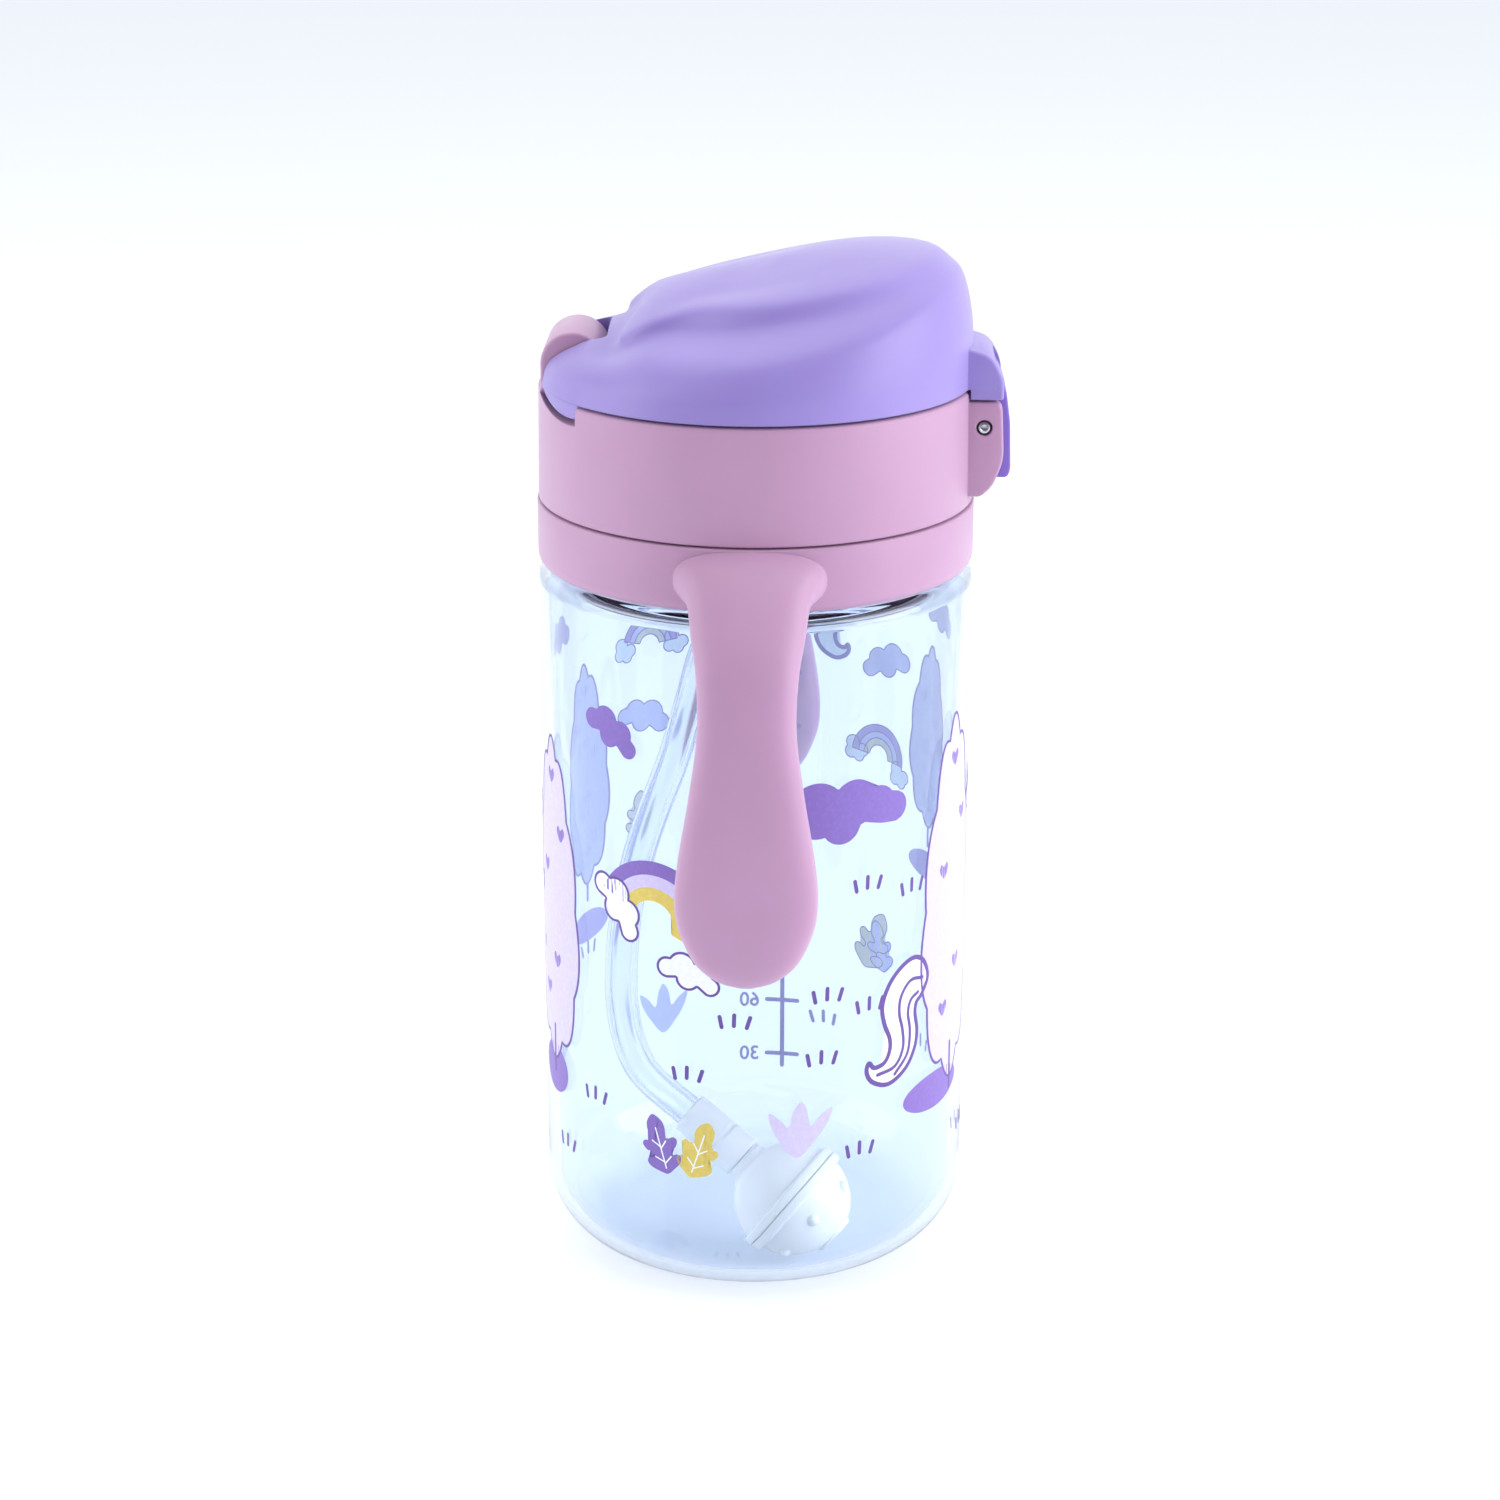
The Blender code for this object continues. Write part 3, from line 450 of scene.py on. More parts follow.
def smooth_point(points, u):
    """Point u, from 0 to the last index, of the smooth curve through the points."""
    i = min(int(u), len(points) - 2)
    t = u - i
    before = points[i - 1] if i > 0 else 2 * points[0] - points[1]
    after = points[i + 2] if i + 2 < len(points) else 2 * points[-1] - points[-2]
    a, b = points[i], points[i + 1]
    return 0.5 * (
        2 * a + (b - before) * t + (2 * before - 5 * a + 4 * b - after) * t * t
        + (3 * a - before - 3 * b + after) * t ** 3
    )


def tube(points, radius, bore, sides=32):
    """A hollow round tube along a line of points, open at both ends."""
    outer, inner = [], []
    turns = [math.tau * k / sides for k in range(sides)]
    up = Vector((0, 1, 0))
    for i, point in enumerate(points):
        along = (points[min(i + 1, len(points) - 1)] - points[max(i - 1, 0)]).normalized()
        side = up.cross(along).normalized()
        up = along.cross(side)
        spokes = [side * math.cos(turn) + up * math.sin(turn) for turn in turns]
        outer.append([point + spoke * radius for spoke in spokes])
        inner.append([point + spoke * bore for spoke in spokes])
    bm = bmesh.new()
    loops = [edge_ring(bm, ring) for ring in outer + inner[::-1]]
    for near, far in zip(loops, loops[1:] + loops[:1]):
        bmesh.ops.bridge_loops(bm, edges=near + far)
    return bm


print("loft tools ready")

# %% [markdown]
# ## Floor and light
#
# A white tent: a pale floor that runs out of sight, a bright even surround, one broad lamp at each
# side, the right one stronger, and a soft one above.

# %% floor and light
floor_bm = bmesh.new()
bmesh.ops.create_grid(floor_bm, x_segments=1, y_segments=1, size=6.0)
bmesh.ops.translate(floor_bm, vec=(0, 0, -0.15 * MM), verts=floor_bm.verts)
floor = loose("floor", floor_bm)
floor.data.materials.append(Finish("pale_floor", {
    "Base Color": colour("E6E9EE"), "Roughness": 0.9, "Specular IOR Level": 0.1,
    "Emission Color": colour("FFFFFF"), "Emission Strength": 0.22,
}).material)


def lamp(name, width, height, power, place, aim=(0, 0, 0.075)):
    made = bpy.data.objects.new(name, bpy.data.lights.new(name, "AREA"))
    made.data.shape = "RECTANGLE"
    made.data.size = width
    made.data.size_y = height
    made.data.energy = power
    made.location = place
    made.rotation_euler = (Vector(aim) - Vector(place)).to_track_quat("-Z", "Y").to_euler()
    bpy.context.scene.collection.objects.link(made)


lamp("lamp_right", 0.7, 0.8, 6.3, (0.80, -0.22, 0.42))
lamp("lamp_left", 0.7, 0.8, 3.4, (-0.80, -0.18, 0.36))
lamp("lamp_above", 0.9, 0.9, 2.5, (0.05, 0.15, 0.95))

world = bpy.data.worlds.new("tent")
world.use_nodes = True
surround = world.node_tree.nodes
tent = surround["Background"]
tent.inputs["Color"].default_value = (0.93, 0.965, 1.0, 1.0)
# the open side of the tent, at the front, is darker than its back and sides
outward = surround.new("ShaderNodeTexCoord")
parts = surround.new("ShaderNodeSeparateXYZ")
shade = surround.new("ShaderNodeMapRange")
for slot, value in ((1, -1.0), (2, 0.25), (3, 0.12), (4, 1.1)):
    shade.inputs[slot].default_value = value
world.node_tree.links.new(outward.outputs["Generated"], parts.inputs[0])
world.node_tree.links.new(parts.outputs["Y"], shade.inputs[0])
world.node_tree.links.new(shade.outputs[0], tent.inputs["Strength"])
bpy.context.scene.world = world
bpy.context.scene.view_settings.view_transform = "Standard"
print("floor, three lamps and the tent")

# %% [markdown]
# ## Clear cup
#
# The cup has a flat inner floor and a round lower edge, a shoulder that turns in to the neck, and a
# bead on the neck that the handle ring snaps over. The screw thread is a ridge round the neck.

# %% clear cup
def thread(root_r, tip_r, bottom_z, turns, steps_a_turn=72, pitch=4.0 * MM):
    """A screw ridge; its root sinks a little into the wall."""
    bm = bmesh.new()
    sunk = root_r - math.copysign(0.3 * MM, tip_r - root_r)
    section = ((sunk, -1.0), (tip_r, -0.45), (tip_r, 0.45), (sunk, 1.0))
    face = bm.faces.new([bm.verts.new((radius, 0, bottom_z + z * MM)) for radius, z in section])
    steps = round(steps_a_turn * turns)
    bmesh.ops.spin(
        bm, geom=[face, *face.edges, *face.verts], cent=(0, 0, 0), axis=(0, 0, 1),
        dvec=(0, 0, pitch / steps_a_turn), angle=math.tau * turns, steps=steps,
    )
    return bm


inner_r = CUP_R - CUP_WALL
neck_r = 27.6 * MM
bore_r = 25.8 * MM
bead_low = SHOULDER_Z + 2.9 * MM
cup_profile = [(0, CUP_WALL), (12 * MM, CUP_WALL)]
cup_profile += arc((inner_r - 9.7 * MM, 11.5 * MM), 9.7 * MM, -90, 0, 14)
cup_profile += [(inner_r, z * MM) for z in (30, 50, 70, 90)]
cup_profile += arc((inner_r - 1.2 * MM, SHOULDER_Z - 3.0 * MM), 1.2 * MM, 0, 90, 5)
cup_profile += arc((bore_r + 0.9 * MM, SHOULDER_Z - 0.9 * MM), 0.9 * MM, 270, 180, 4)
cup_profile += arc((bore_r + 0.4 * MM, NECK_TOP - 0.4 * MM), 0.4 * MM, 180, 90, 3)
cup_profile += arc((neck_r - 0.4 * MM, NECK_TOP - 0.4 * MM), 0.4 * MM, 90, 0, 3)
cup_profile += [(neck_r, bead_low + 5.7 * MM), (29.3 * MM, bead_low + 4.0 * MM)]
cup_profile += [(29.3 * MM, bead_low), (neck_r, bead_low - 1.7 * MM)]
cup_profile += arc((neck_r + 0.5 * MM, SHOULDER_Z + 0.5 * MM), 0.5 * MM, 180, 270, 3)
cup_profile += arc((CUP_R - 2.2 * MM, SHOULDER_Z - 2.2 * MM), 2.2 * MM, 90, 0, 8)
cup_profile += [(CUP_R, z * MM) for z in (90, 70, 50, 30)]
cup_profile += arc((CUP_R - 11.5 * MM, 11.5 * MM), 11.5 * MM, 0, -90, 18)
cup_profile += [(12 * MM, 0), (0, 0)]
cup = loose("clear_cup", turned(cup_profile, 144))
neck_thread = loose("neck_thread", thread(neck_r, 29.1 * MM, COLLAR_Z + 2.0 * MM, 1.6))
combine(cup, [("UNION", neck_thread)])
finish_off(cup, "bottle", CLEAR)
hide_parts("bottle_body")
print("clear cup:", len(cup.data.polygons), "faces")

# %% [markdown]
# ## Handle ring
#
# Each handle leaves the ring as a broad root, bends down, narrows to a neck and ends in a drop-shaped
# pad. Sections are given at a few stations and smoothed in between.

# %% handle ring
def squared(value, power=0.8):
    """Pushes a circle's sine or cosine towards a rounded rectangle."""
    return math.copysign(abs(value) ** power, value)


def handle_sections():
    out = CUP_R / MM + 13.5
    top = RING_TOP / MM - 5.6
    low = top - 56.0
    # distance out, height, width, thickness, lean of the section from vertical (degrees)
    stations = [Vector(row) for row in (
        (30.8, top + 0.7, 22.4, 9.4, 90),
        (33.5, top + 0.6, 20.8, 9.2, 86),
        (36.4, top - 1.1, 17.8, 7.9, 62),
        (out - 6.5, top - 5.0, 16.4, 7.0, 42),
        (out - 3.2, top - 10.5, 14.6, 7.0, 22),
        (out - 1.6, top - 18.0, 14.2, 7.2, 9),
        (out - 0.6, top - 27.0, 16.5, 7.5, 5),
        (out, low + 19.0, 19.8, 8.0, 1),
        (out, low + 13.0, 20.7, 8.0, 0),
        (out, low + 8.5, 19.3, 7.9, 0),
        (out, low + 4.0, 15.2, 7.2, 0),
        (out, low + 1.4, 9.5, 5.3, 0),
        (out, low + 0.2, 3.3, 2.4, 0),
    )]
    per_span = 5
    rings = []
    for step in range((len(stations) - 1) * per_span + 1):
        distance, height, width, depth, lean = smooth_point(stations, step / per_span)
        lean = math.radians(lean)
        ring = []
        for i in range(40):
            angle = math.tau * (i + 0.5) / 40
            across = width / 2 * squared(math.cos(angle))
            along = depth / 2 * squared(math.sin(angle))
            y = -distance - along * math.cos(lean)
            ring.append(Vector((across, y, height + along * math.sin(lean))) * MM)
        rings.append(ring)
    return rings


ring_profile = [(RING_BORE, RING_Z + 0.3 * MM), (RING_BORE, RING_TOP - 0.3 * MM)]
ring_profile += [(RING_BORE + 0.3 * MM, RING_TOP)]
ring_profile += arc((CUP_R - 0.25 * MM, RING_TOP - 0.25 * MM), 0.25 * MM, 90, 0, 3)
ring_profile += [(CUP_R, RING_TOP - 4 * MM)]
ring_profile += arc((CUP_R - 1.7 * MM, RING_Z + 1.7 * MM), 1.7 * MM, 0, -90, 6)
ring_profile += [(RING_BORE + 0.3 * MM, RING_Z)]
ring = loose("handle_ring_moulding", turned(ring_profile, 144))
front_handle = loose("front_handle", loft(handle_sections()))
back_handle = loose("back_handle", loft(handle_sections()))
back_handle.data.transform(Matrix.Rotation(math.pi, 4, "Z"))
combine(ring, [("UNION", front_handle), ("UNION", back_handle)])
finish_off(ring, "handles", PINK, 40.0)
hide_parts("handle_ring")
print("handle ring:", len(ring.data.polygons), "faces")

# %% [markdown]
# ## Screw lid
#
# The collar is turned, then gets the hinge tower at the back, two ears for the latch, and cuts for the
# cap's arms, the pins and the spring.

# %% screw lid
lid_profile = [(7.2 * MM, DECK_UNDER), (7.2 * MM, DECK_TOP - 0.3 * MM), (7.5 * MM, DECK_TOP)]
lid_profile += [(29.4 * MM, DECK_TOP)]
lid_profile += arc((30.2 * MM, COLLAR_TOP - 0.4 * MM), 0.4 * MM, 180, 90, 3)
lid_profile += arc((32.0 * MM, COLLAR_TOP - 0.6 * MM), 0.6 * MM, 90, 0, 5)
lid_profile += arc((COLLAR_R - 0.3 * MM, COLLAR_Z + 0.3 * MM), 0.3 * MM, 0, -90, 3)
lid_profile += [(RING_BORE, COLLAR_Z), (RING_BORE, DECK_UNDER), (25.2 * MM, DECK_UNDER)]
lid_profile += [(25.2 * MM, DECK_UNDER - 4 * MM), (23.4 * MM, DECK_UNDER - 4 * MM)]
lid_profile += [(23.4 * MM, DECK_UNDER)]
lid = loose("screw_lid", turned(lid_profile, 144))

tower = [(HINGE_X - BARREL_R, DECK_UNDER + 0.5 * MM)]
tower += arc((HINGE_X, HINGE_Z), BARREL_R, 180, 0, 32)
tower += [(HINGE_X + BARREL_R, DECK_UNDER + 0.5 * MM)]
ear = rounded([
    (COLLAR_R - 1.6 * MM, COLLAR_TOP - 1.5 * MM),
    (LATCH_X + 2.6 * MM, COLLAR_TOP - 1.5 * MM),
    (LATCH_X + 3.0 * MM, LATCH_Z - 5.0 * MM),
    (LATCH_X + 1.4 * MM, LATCH_Z - 9.0 * MM),
    (COLLAR_R + 0.9 * MM, COLLAR_Z + 1.4 * MM),
    (COLLAR_R - 1.6 * MM, COLLAR_Z + 1.4 * MM),
], [0, 1.3 * MM, 2.6 * MM, 1.5 * MM, 0.6 * MM, 0], 6)
lid_steps = [
    ("UNION", loose("lid_thread", thread(RING_BORE, 28.1 * MM, COLLAR_Z + 4.0 * MM, 1.6))),
    ("UNION", loose("tower", plate(tower, -7 * MM, 7 * MM, 0.5 * MM))),
]
for side in (-1, 1):
    low, high = sorted((side * 8.0 * MM, side * 5.2 * MM))
    lid_steps.append(("UNION", loose(f"ear{side}", plate(ear, low, high, 0.45 * MM))))
for side in (-1, 1):
    low, high = sorted((side * 7.0 * MM, side * 20.0 * MM))
    room = rod(ARM_ROOM_R, low, high, HINGE_X, HINGE_Z, 72)
    lid_steps.append(("DIFFERENCE", loose(f"arm_room{side}", room)))
for name, radius, low, high, x, z in (
    ("pin_hole", 1.3, -8, 8, HINGE_X, HINGE_Z),
    ("spring_room", 3.2, 1, 8, HINGE_X, HINGE_Z),
    ("lever_room", 2.7, -5.2, 5.2, LATCH_X, LATCH_Z),
    ("latch_hole", 1.2, -9, 9, LATCH_X, LATCH_Z),
):
    lid_steps.append(("DIFFERENCE", loose(name, rod(radius * MM, low * MM, high * MM, x, z))))
vent_top = DECK_TOP + MM
vent_low = DECK_UNDER - MM
vent = turned([(0, vent_top), (VENT_R, vent_top), (VENT_R, vent_low), (0, vent_low)], 32)
bmesh.ops.translate(vent, vec=(VENT_X, 0, 0), verts=vent.verts)
lid_steps.append(("DIFFERENCE", loose("vent_room", vent)))
combine(lid, lid_steps)
finish_off(lid, "lid", PINK, 40.0)
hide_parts("lid_collar")
print("screw lid:", len(lid.data.polygons), "faces")

# %% [markdown]
# ## Hood
#
# The flip cap is one smooth form. Its crown slopes down from the latch to the hinge, a soft scarp
# divides it from the flank, and near the hinge it dips to leave room for the barrel.

# %% hood
CORNER_AZIMUTH = 36.0
CORNER_SPREAD = 16.0
SINK_FROM = 14.0
SINK_OVER = 8.0
SINK_DEPTH = 2.0
SINK_FADE = 8.0


def cap_values(at_latch, at_side, at_hinge, azimuth):
    """A size given at the latch (azimuth 0), at both sides (90) and at the hinge (180)."""
    c = math.cos(azimuth)
    return at_side + (at_latch - at_hinge) / 2 * c + ((at_latch + at_hinge) / 2 - at_side) * c * c


def cap_profile(azimuth):
    """(radius, height) down one side: crown, scarp, flank and edge."""
    top = CAP_RISE / MM
    rim = CAP_R / MM
    table = (
        # radius and height at latch, side and hinge; then out and down at the corners
        (8.0, 8.0, 8.0, top + 1.6, top - 1.1, top - 2.0, 0.0, 0.0),
        (16.5, 12.8, 12.5, top + 2.6, top - 1.9, top - 3.2, 2.4, 0.7),
        (25.6, 19.6, 16.1, top + 2.1, top - 2.9, top - 4.8, 6.0, 2.2),
        (28.9, 22.3, 18.8, top + 0.3, top - 6.2, top - 7.0, 4.9, 1.7),
        (rim - 1.5, rim - 3.2, 25.8, top - 2.4, top - 9.4, top - 8.7, 2.4, 1.1),
        (rim - 0.2, rim - 0.6, rim - 1.4, top - 9.0, top - 13.6, top - 12.5, 0.3, 0.0),
        (rim, rim, rim, 0.0, 0.0, 0.0, 0.0, 0.0),
    )
    from_hinge = abs(math.degrees(azimuth) - 180)
    corner = math.exp(-((from_hinge - CORNER_AZIMUTH) / CORNER_SPREAD) ** 2)
    rows = []
    for row in table:
        out = cap_values(*row[:3], azimuth) + row[6] * corner
        rows.append(Vector((out, cap_values(*row[3:6], azimuth) - row[7] * corner)))
    return rows


def cap_rings(wall, foot, around=120, per_span=5):
    """Rings of the outer form, or of the hollow when a wall is taken off, from crown to foot."""
    columns = []
    crown = Vector((0.0, CAP_RISE / MM))
    for step in range(around):
        azimuth = math.tau * step / around
        points = [crown, *cap_profile(azimuth)]
        column = []
        for k in range(2, (len(points) - 1) * per_span + 1):
            radius, height = smooth_point(points, k / per_span)
            # towards the hinge the whole form sinks, so that the barrel shows between the arms
            reach = (-radius * math.cos(azimuth) - SINK_FROM) / SINK_OVER
            sink = min(max(reach, 0.0), 1.0)
            share = min(max(height, 0.0) / SINK_FADE, 1.0)
            height -= SINK_DEPTH * sink * sink * (3 - 2 * sink) * share
            radius *= 1 - wall * MM / CAP_R
            z = CAP_Z / MM + height - wall
            column.append((radius * math.cos(azimuth) * MM, radius * math.sin(azimuth) * MM, z * MM))
        x, y, _ = column[-1]
        column[-1] = (x, y, CAP_Z - foot)
        columns.append(column)
    return [[column[k] for column in columns] for k in range(len(columns[0]))]


hood = loose("hood", loft(cap_rings(0.0, 0.0)))
hollow = loose("hood_hollow", loft(cap_rings(1.8, 3 * MM)))
slot_end = HINGE_X + BARREL_R + 0.4 * MM
arm_out = 12.7 * MM
combine(hollow, [(
    "DIFFERENCE",
    loose("solid_end", block(
        (-38 * MM, -arm_out, 130 * MM), (slot_end + 1.8 * MM, arm_out, 161 * MM), 0.8 * MM
    )),
)])
tab_low = COLLAR_TOP - 1.2 * MM
tab_outline = rounded([
    (CAP_R - 2.5 * MM, tab_low),
    (LATCH_X + 2.8 * MM, tab_low),
    (LATCH_X + 2.8 * MM, tab_low + 3.2 * MM),
    (LATCH_X + 1.0 * MM, tab_low + 6.6 * MM),
    (CAP_R - 1.2 * MM, tab_low + 7.7 * MM),
    (CAP_R - 2.5 * MM, tab_low + 7.7 * MM),
], [0, 0.6 * MM, 2.0 * MM, 1.6 * MM, 0, 0], 6)
tab = loose("tab", plate(tab_outline, -8 * MM, 8 * MM, 0.5 * MM))
seat_r = COLLAR_R + 0.12 * MM
seat = turned([(0, 130 * MM), (seat_r, 130 * MM), (seat_r, CAP_Z), (0, CAP_Z)], 120)
combine(tab, [("DIFFERENCE", loose("lid_seat", seat))])
heel = [(-38 * MM, HINGE_Z), (HINGE_X - ARM_R, HINGE_Z)]
heel += arc((HINGE_X, HINGE_Z), ARM_R, 180, 270, 16)[1:] + [(HINGE_X, 128 * MM), (-38 * MM, 128 * MM)]
arms = loose("hinge_arms", rod(ARM_R, -20 * MM, 20 * MM, HINGE_X, HINGE_Z, 72))
combine(arms, [("INTERSECT", loose("arm_limit", loft(cap_rings(0.05, 8 * MM))))])
hood_steps = [
    ("DIFFERENCE", hollow),
    ("DIFFERENCE", loose("heel", plate(heel, -22 * MM, 22 * MM))),
    ("UNION", arms),
    ("DIFFERENCE", loose("slot", block(
        (-38 * MM, -7.4 * MM, 130 * MM), (slot_end, 7.4 * MM, 161 * MM), 0.9 * MM
    ))),
    ("UNION", tab),
    ("DIFFERENCE", loose("lever_notch", block(
        (COLLAR_R + MM, -5.2 * MM, tab_low - MM),
        (LATCH_X + 6 * MM, 5.2 * MM, tab_low + 5.6 * MM),
        0.2 * MM,
    ))),
    ("DIFFERENCE", loose("hinge_hole", rod(1.3 * MM, -11.8 * MM, 11.8 * MM, HINGE_X, HINGE_Z))),
]
combine(hood, hood_steps)
finish_off(hood, "cap", LAVENDER, 38.0)
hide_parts("flip_cap")
print("hood:", len(hood.data.polygons), "faces")

# %% [markdown]
# ## Latch and pins
#
# The lever is a bent plate on a knuckle between the ears. Its pin is riveted, so its end is hollow.

# %% latch and pins
inner = LATCH_X + 0.4 * MM
lever_outline = rounded([
    (inner + 1.1 * MM, COLLAR_TOP - 13.6 * MM),
    (LATCH_X + 3.7 * MM, COLLAR_TOP - 13.6 * MM),
    (LATCH_X + 4.15 * MM, COLLAR_TOP - 12.4 * MM),
    (LATCH_X + 3.95 * MM, LATCH_Z),
    (LATCH_X + 3.35 * MM, COLLAR_TOP - 0.8 * MM),
    (LATCH_X + 2.6 * MM, COLLAR_TOP + 1.6 * MM),
    (LATCH_X + 1.5 * MM, COLLAR_TOP + 3.5 * MM),
    (inner - 0.05 * MM, COLLAR_TOP + 3.4 * MM),
    (inner - 0.05 * MM, COLLAR_TOP + 2.4 * MM),
    (inner + 0.9 * MM, COLLAR_TOP + 1.6 * MM),
    (inner + 0.9 * MM, LATCH_Z),
    (inner + 1.3 * MM, LATCH_Z - 2.0 * MM),
], 0.6 * MM, 4)
lever = loose("latch_lever_plate", plate(lever_outline, -4.9 * MM, 4.9 * MM, 0.3 * MM))
combine(lever, [
    ("UNION", loose("knuckle", rod(2.4 * MM, -4.9 * MM, 4.9 * MM, LATCH_X, LATCH_Z))),
    ("DIFFERENCE", loose("coil_room", rod(2.6 * MM, -2.2 * MM, 2.2 * MM, LATCH_X, LATCH_Z))),
    ("DIFFERENCE", loose("lever_hole", rod(1.2 * MM, -6 * MM, 6 * MM, LATCH_X, LATCH_Z))),
])
finish_off(lever, "latch", PURPLE, 40.0)
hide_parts("latch_lever")


def riveted_pin(name, radius, half, x, z, body, replaced):
    """A pin along Y with a small hollow in each end."""
    end = [(0, half - 0.9 * MM), (radius * 0.42, half - 0.8 * MM), (radius * 0.5, half - 0.15 * MM)]
    end += [(radius * 0.66, half), (radius * 0.86, half - 0.05 * MM), (radius, half - 0.3 * MM)]
    bm = turned(end + [(r, -h) for r, h in reversed(end)], 32)
    bmesh.ops.rotate(bm, matrix=Matrix.Rotation(math.pi / 2, 3, "X"), verts=bm.verts)
    bmesh.ops.translate(bm, vec=(x, 0, z), verts=bm.verts)
    made = piece(name, bm, body, STEEL)
    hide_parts(replaced)


riveted_pin("latch_pin_rivet", 0.95 * MM, 7.95 * MM, LATCH_X, LATCH_Z, "lid", "latch_pin")
riveted_pin("hinge_pin_rivet", 1.2 * MM, 11.5 * MM, HINGE_X, HINGE_Z, "cap", "hinge_pin")
print("lever and two pins")

# %% [markdown]
# ## Drinking parts
#
# A soft spout stands under the hood, a pad in the hood closes it, and a plate below the deck holds the
# straw. The springs, seals and weight core keep their measured shape and get a finish.

# %% drinking parts
spout_rows = [
    (2.0, 132.0), (2.0, 149.4), (2.3, 150.0), (2.8, 150.2), (4.0, 150.2), (4.8, 149.9), (5.2, 149.2),
    (5.25, 148.0), (4.9, 146.8), (4.45, 145.6), (4.45, 144.4), (4.9, 141.5), (5.4, 139.0),
    (5.7, 138.2), (6.6, 137.4), (8.0, 137.0), (8.2, 136.6), (8.2, 135.9), (6.9, 135.9),
    (6.9, 133.2), (11.0, 133.2), (11.0, 132.0),
]
spout = piece("soft_spout", turned([(r * MM, z * MM) for r, z in spout_rows], 72), "lid", SOFT)
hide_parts("spout")

SMALL_PARTS = {
    "cap_stopper": SOFT, "neck_gasket": SOFT, "vent_valve": SOFT, "weight_seal": SOFT,
    "nozzle_plate": WHITE, "hinge_spring": STEEL, "latch_spring": STEEL, "weight_core": STEEL,
}
for name, finish in SMALL_PARTS.items():
    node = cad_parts[name]
    node.data.materials.clear()
    node.data.materials.append(finish)
print("spout and", len(SMALL_PARTS), "small parts")

# %% [markdown]
# ## Straw and weight
#
# The straw leaves its socket under the lid, leans to the hinge side and curls back along the wall to
# the weight in the lower corner. It is a real tube with a bore, and its length is measured along it.

# %% straw and weight
WEIGHT_CENTRE = Vector((6.345, -18.963, 12.0))
dip = math.radians(35.5)
turn = math.radians(-19.5)
WEIGHT_AXIS = Vector(
    (math.cos(dip) * math.cos(turn), math.cos(dip) * math.sin(turn), -math.sin(dip))
)


def along_weight(distance):
    return WEIGHT_CENTRE + WEIGHT_AXIS * distance


route = [Vector(point) for point in (
    (0.0, 0.0, 129.0), (0.0, 0.0, 123.0), (-0.7, 0.0, 117.0), (-2.5, -0.1, 109.5),
    (-5.1, -0.3, 102.0), (-8.0, -0.6, 94.8), (-10.2, -1.5, 86.5), (-12.6, -2.6, 78.5),
    (-15.7, -4.1, 70.3), (-18.0, -5.4, 63.0), (-19.6, -6.7, 55.5), (-20.3, -8.1, 48.0),
    (-20.2, -9.5, 40.8), (-18.9, -10.9, 34.6), (-16.2, -12.1, 29.7),
)] + [along_weight(-21.0), along_weight(-14.5)]
straw_line = [smooth_point(route, i / 8) * MM for i in range((len(route) - 1) * 8 + 1)]
straw_length = sum((b - a).length for a, b in zip(straw_line, straw_line[1:]))
straw = piece("straw", tube(straw_line, STRAW_R, STRAW_BORE_R), "straw", TUBE, 50.0)
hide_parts("straw_tube")


def on_weight_axis(bm):
    """Lays a piece made round Z on the weight's axis, with +Z back up the straw."""
    bmesh.ops.transform(
        bm, matrix=Matrix.Translation(WEIGHT_CENTRE * MM)
        @ (-WEIGHT_AXIS).to_track_quat("Z", "Y").to_matrix().to_4x4(), verts=bm.verts,
    )
    return bm


def in_mm(rows):
    return [(radius * MM, z * MM) for radius, z in rows]


sleeve_rows = [(2.0, 10.0), (2.0, 14.2), (2.8, 14.2), (2.75, 20.2), (2.85, 20.8), (3.1, 21.0)]
sleeve_rows += [(3.25, 20.9), (3.3, 20.6), (3.35, 18.6), (3.4, 14.8), (3.25, 14.6), (3.25, 14.2)]
sleeve_rows += [(3.45, 14.0), (3.5, 10.3), (3.3, 10.0)]
sleeve = piece("straw_sleeve", on_weight_axis(turned(in_mm(sleeve_rows), 48)), "straw", WHITE)
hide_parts("straw_connector")


def half_ball(side):
    """One half of the weight; +1 is the straw's half. A flange runs round where they meet."""
    low = math.degrees(math.asin(0.65 / 7.8))
    shell = arc((0, 0), 7.8, low, math.degrees(math.acos(2.0 / 7.8)), 12)
    end = 9.7 if side > 0 else 8.82
    shell += [(2.0, end), (3.1, end), (3.4, end - 0.3)]
    high = math.degrees(math.acos(3.4 / 9.0))
    shell += arc((0, 0), 9.0, high, math.degrees(math.asin(1.6 / 9.0)), 14)
    shell += [(9.35, 1.5), (9.7, 1.35), (9.8, 1.1), (9.8, 0.12), (9.7, 0.05), (9.5, 0.05), (9.5, 0.65)]
    return turned(in_mm([(radius, side * z) for radius, z in shell]), 72)


top_ball = piece("weight_upper_half", on_weight_axis(half_ball(1)), "straw", WHITE)
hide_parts("weight_top_shell")
low_half = half_ball(-1)
for i in range(6):
    nub = bmesh.new()
    bmesh.ops.create_uvsphere(nub, u_segments=16, v_segments=8, radius=0.9 * MM)
    angle = math.tau * (i + 0.5) / 6
    spot = Vector((7.6 * math.cos(angle), 7.6 * math.sin(angle), -4.4)) * MM
    bmesh.ops.translate(nub, vec=spot, verts=nub.verts)
    nub_mesh = bpy.data.meshes.new("nub")
    nub.to_mesh(nub_mesh)
    nub.free()
    low_half.from_mesh(nub_mesh)
low_ball = piece("weight_lower_half", on_weight_axis(low_half), "straw", WHITE)
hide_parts("weight_bottom_shell")

print("straw", round(straw_length * 1000, 1), "mm long")

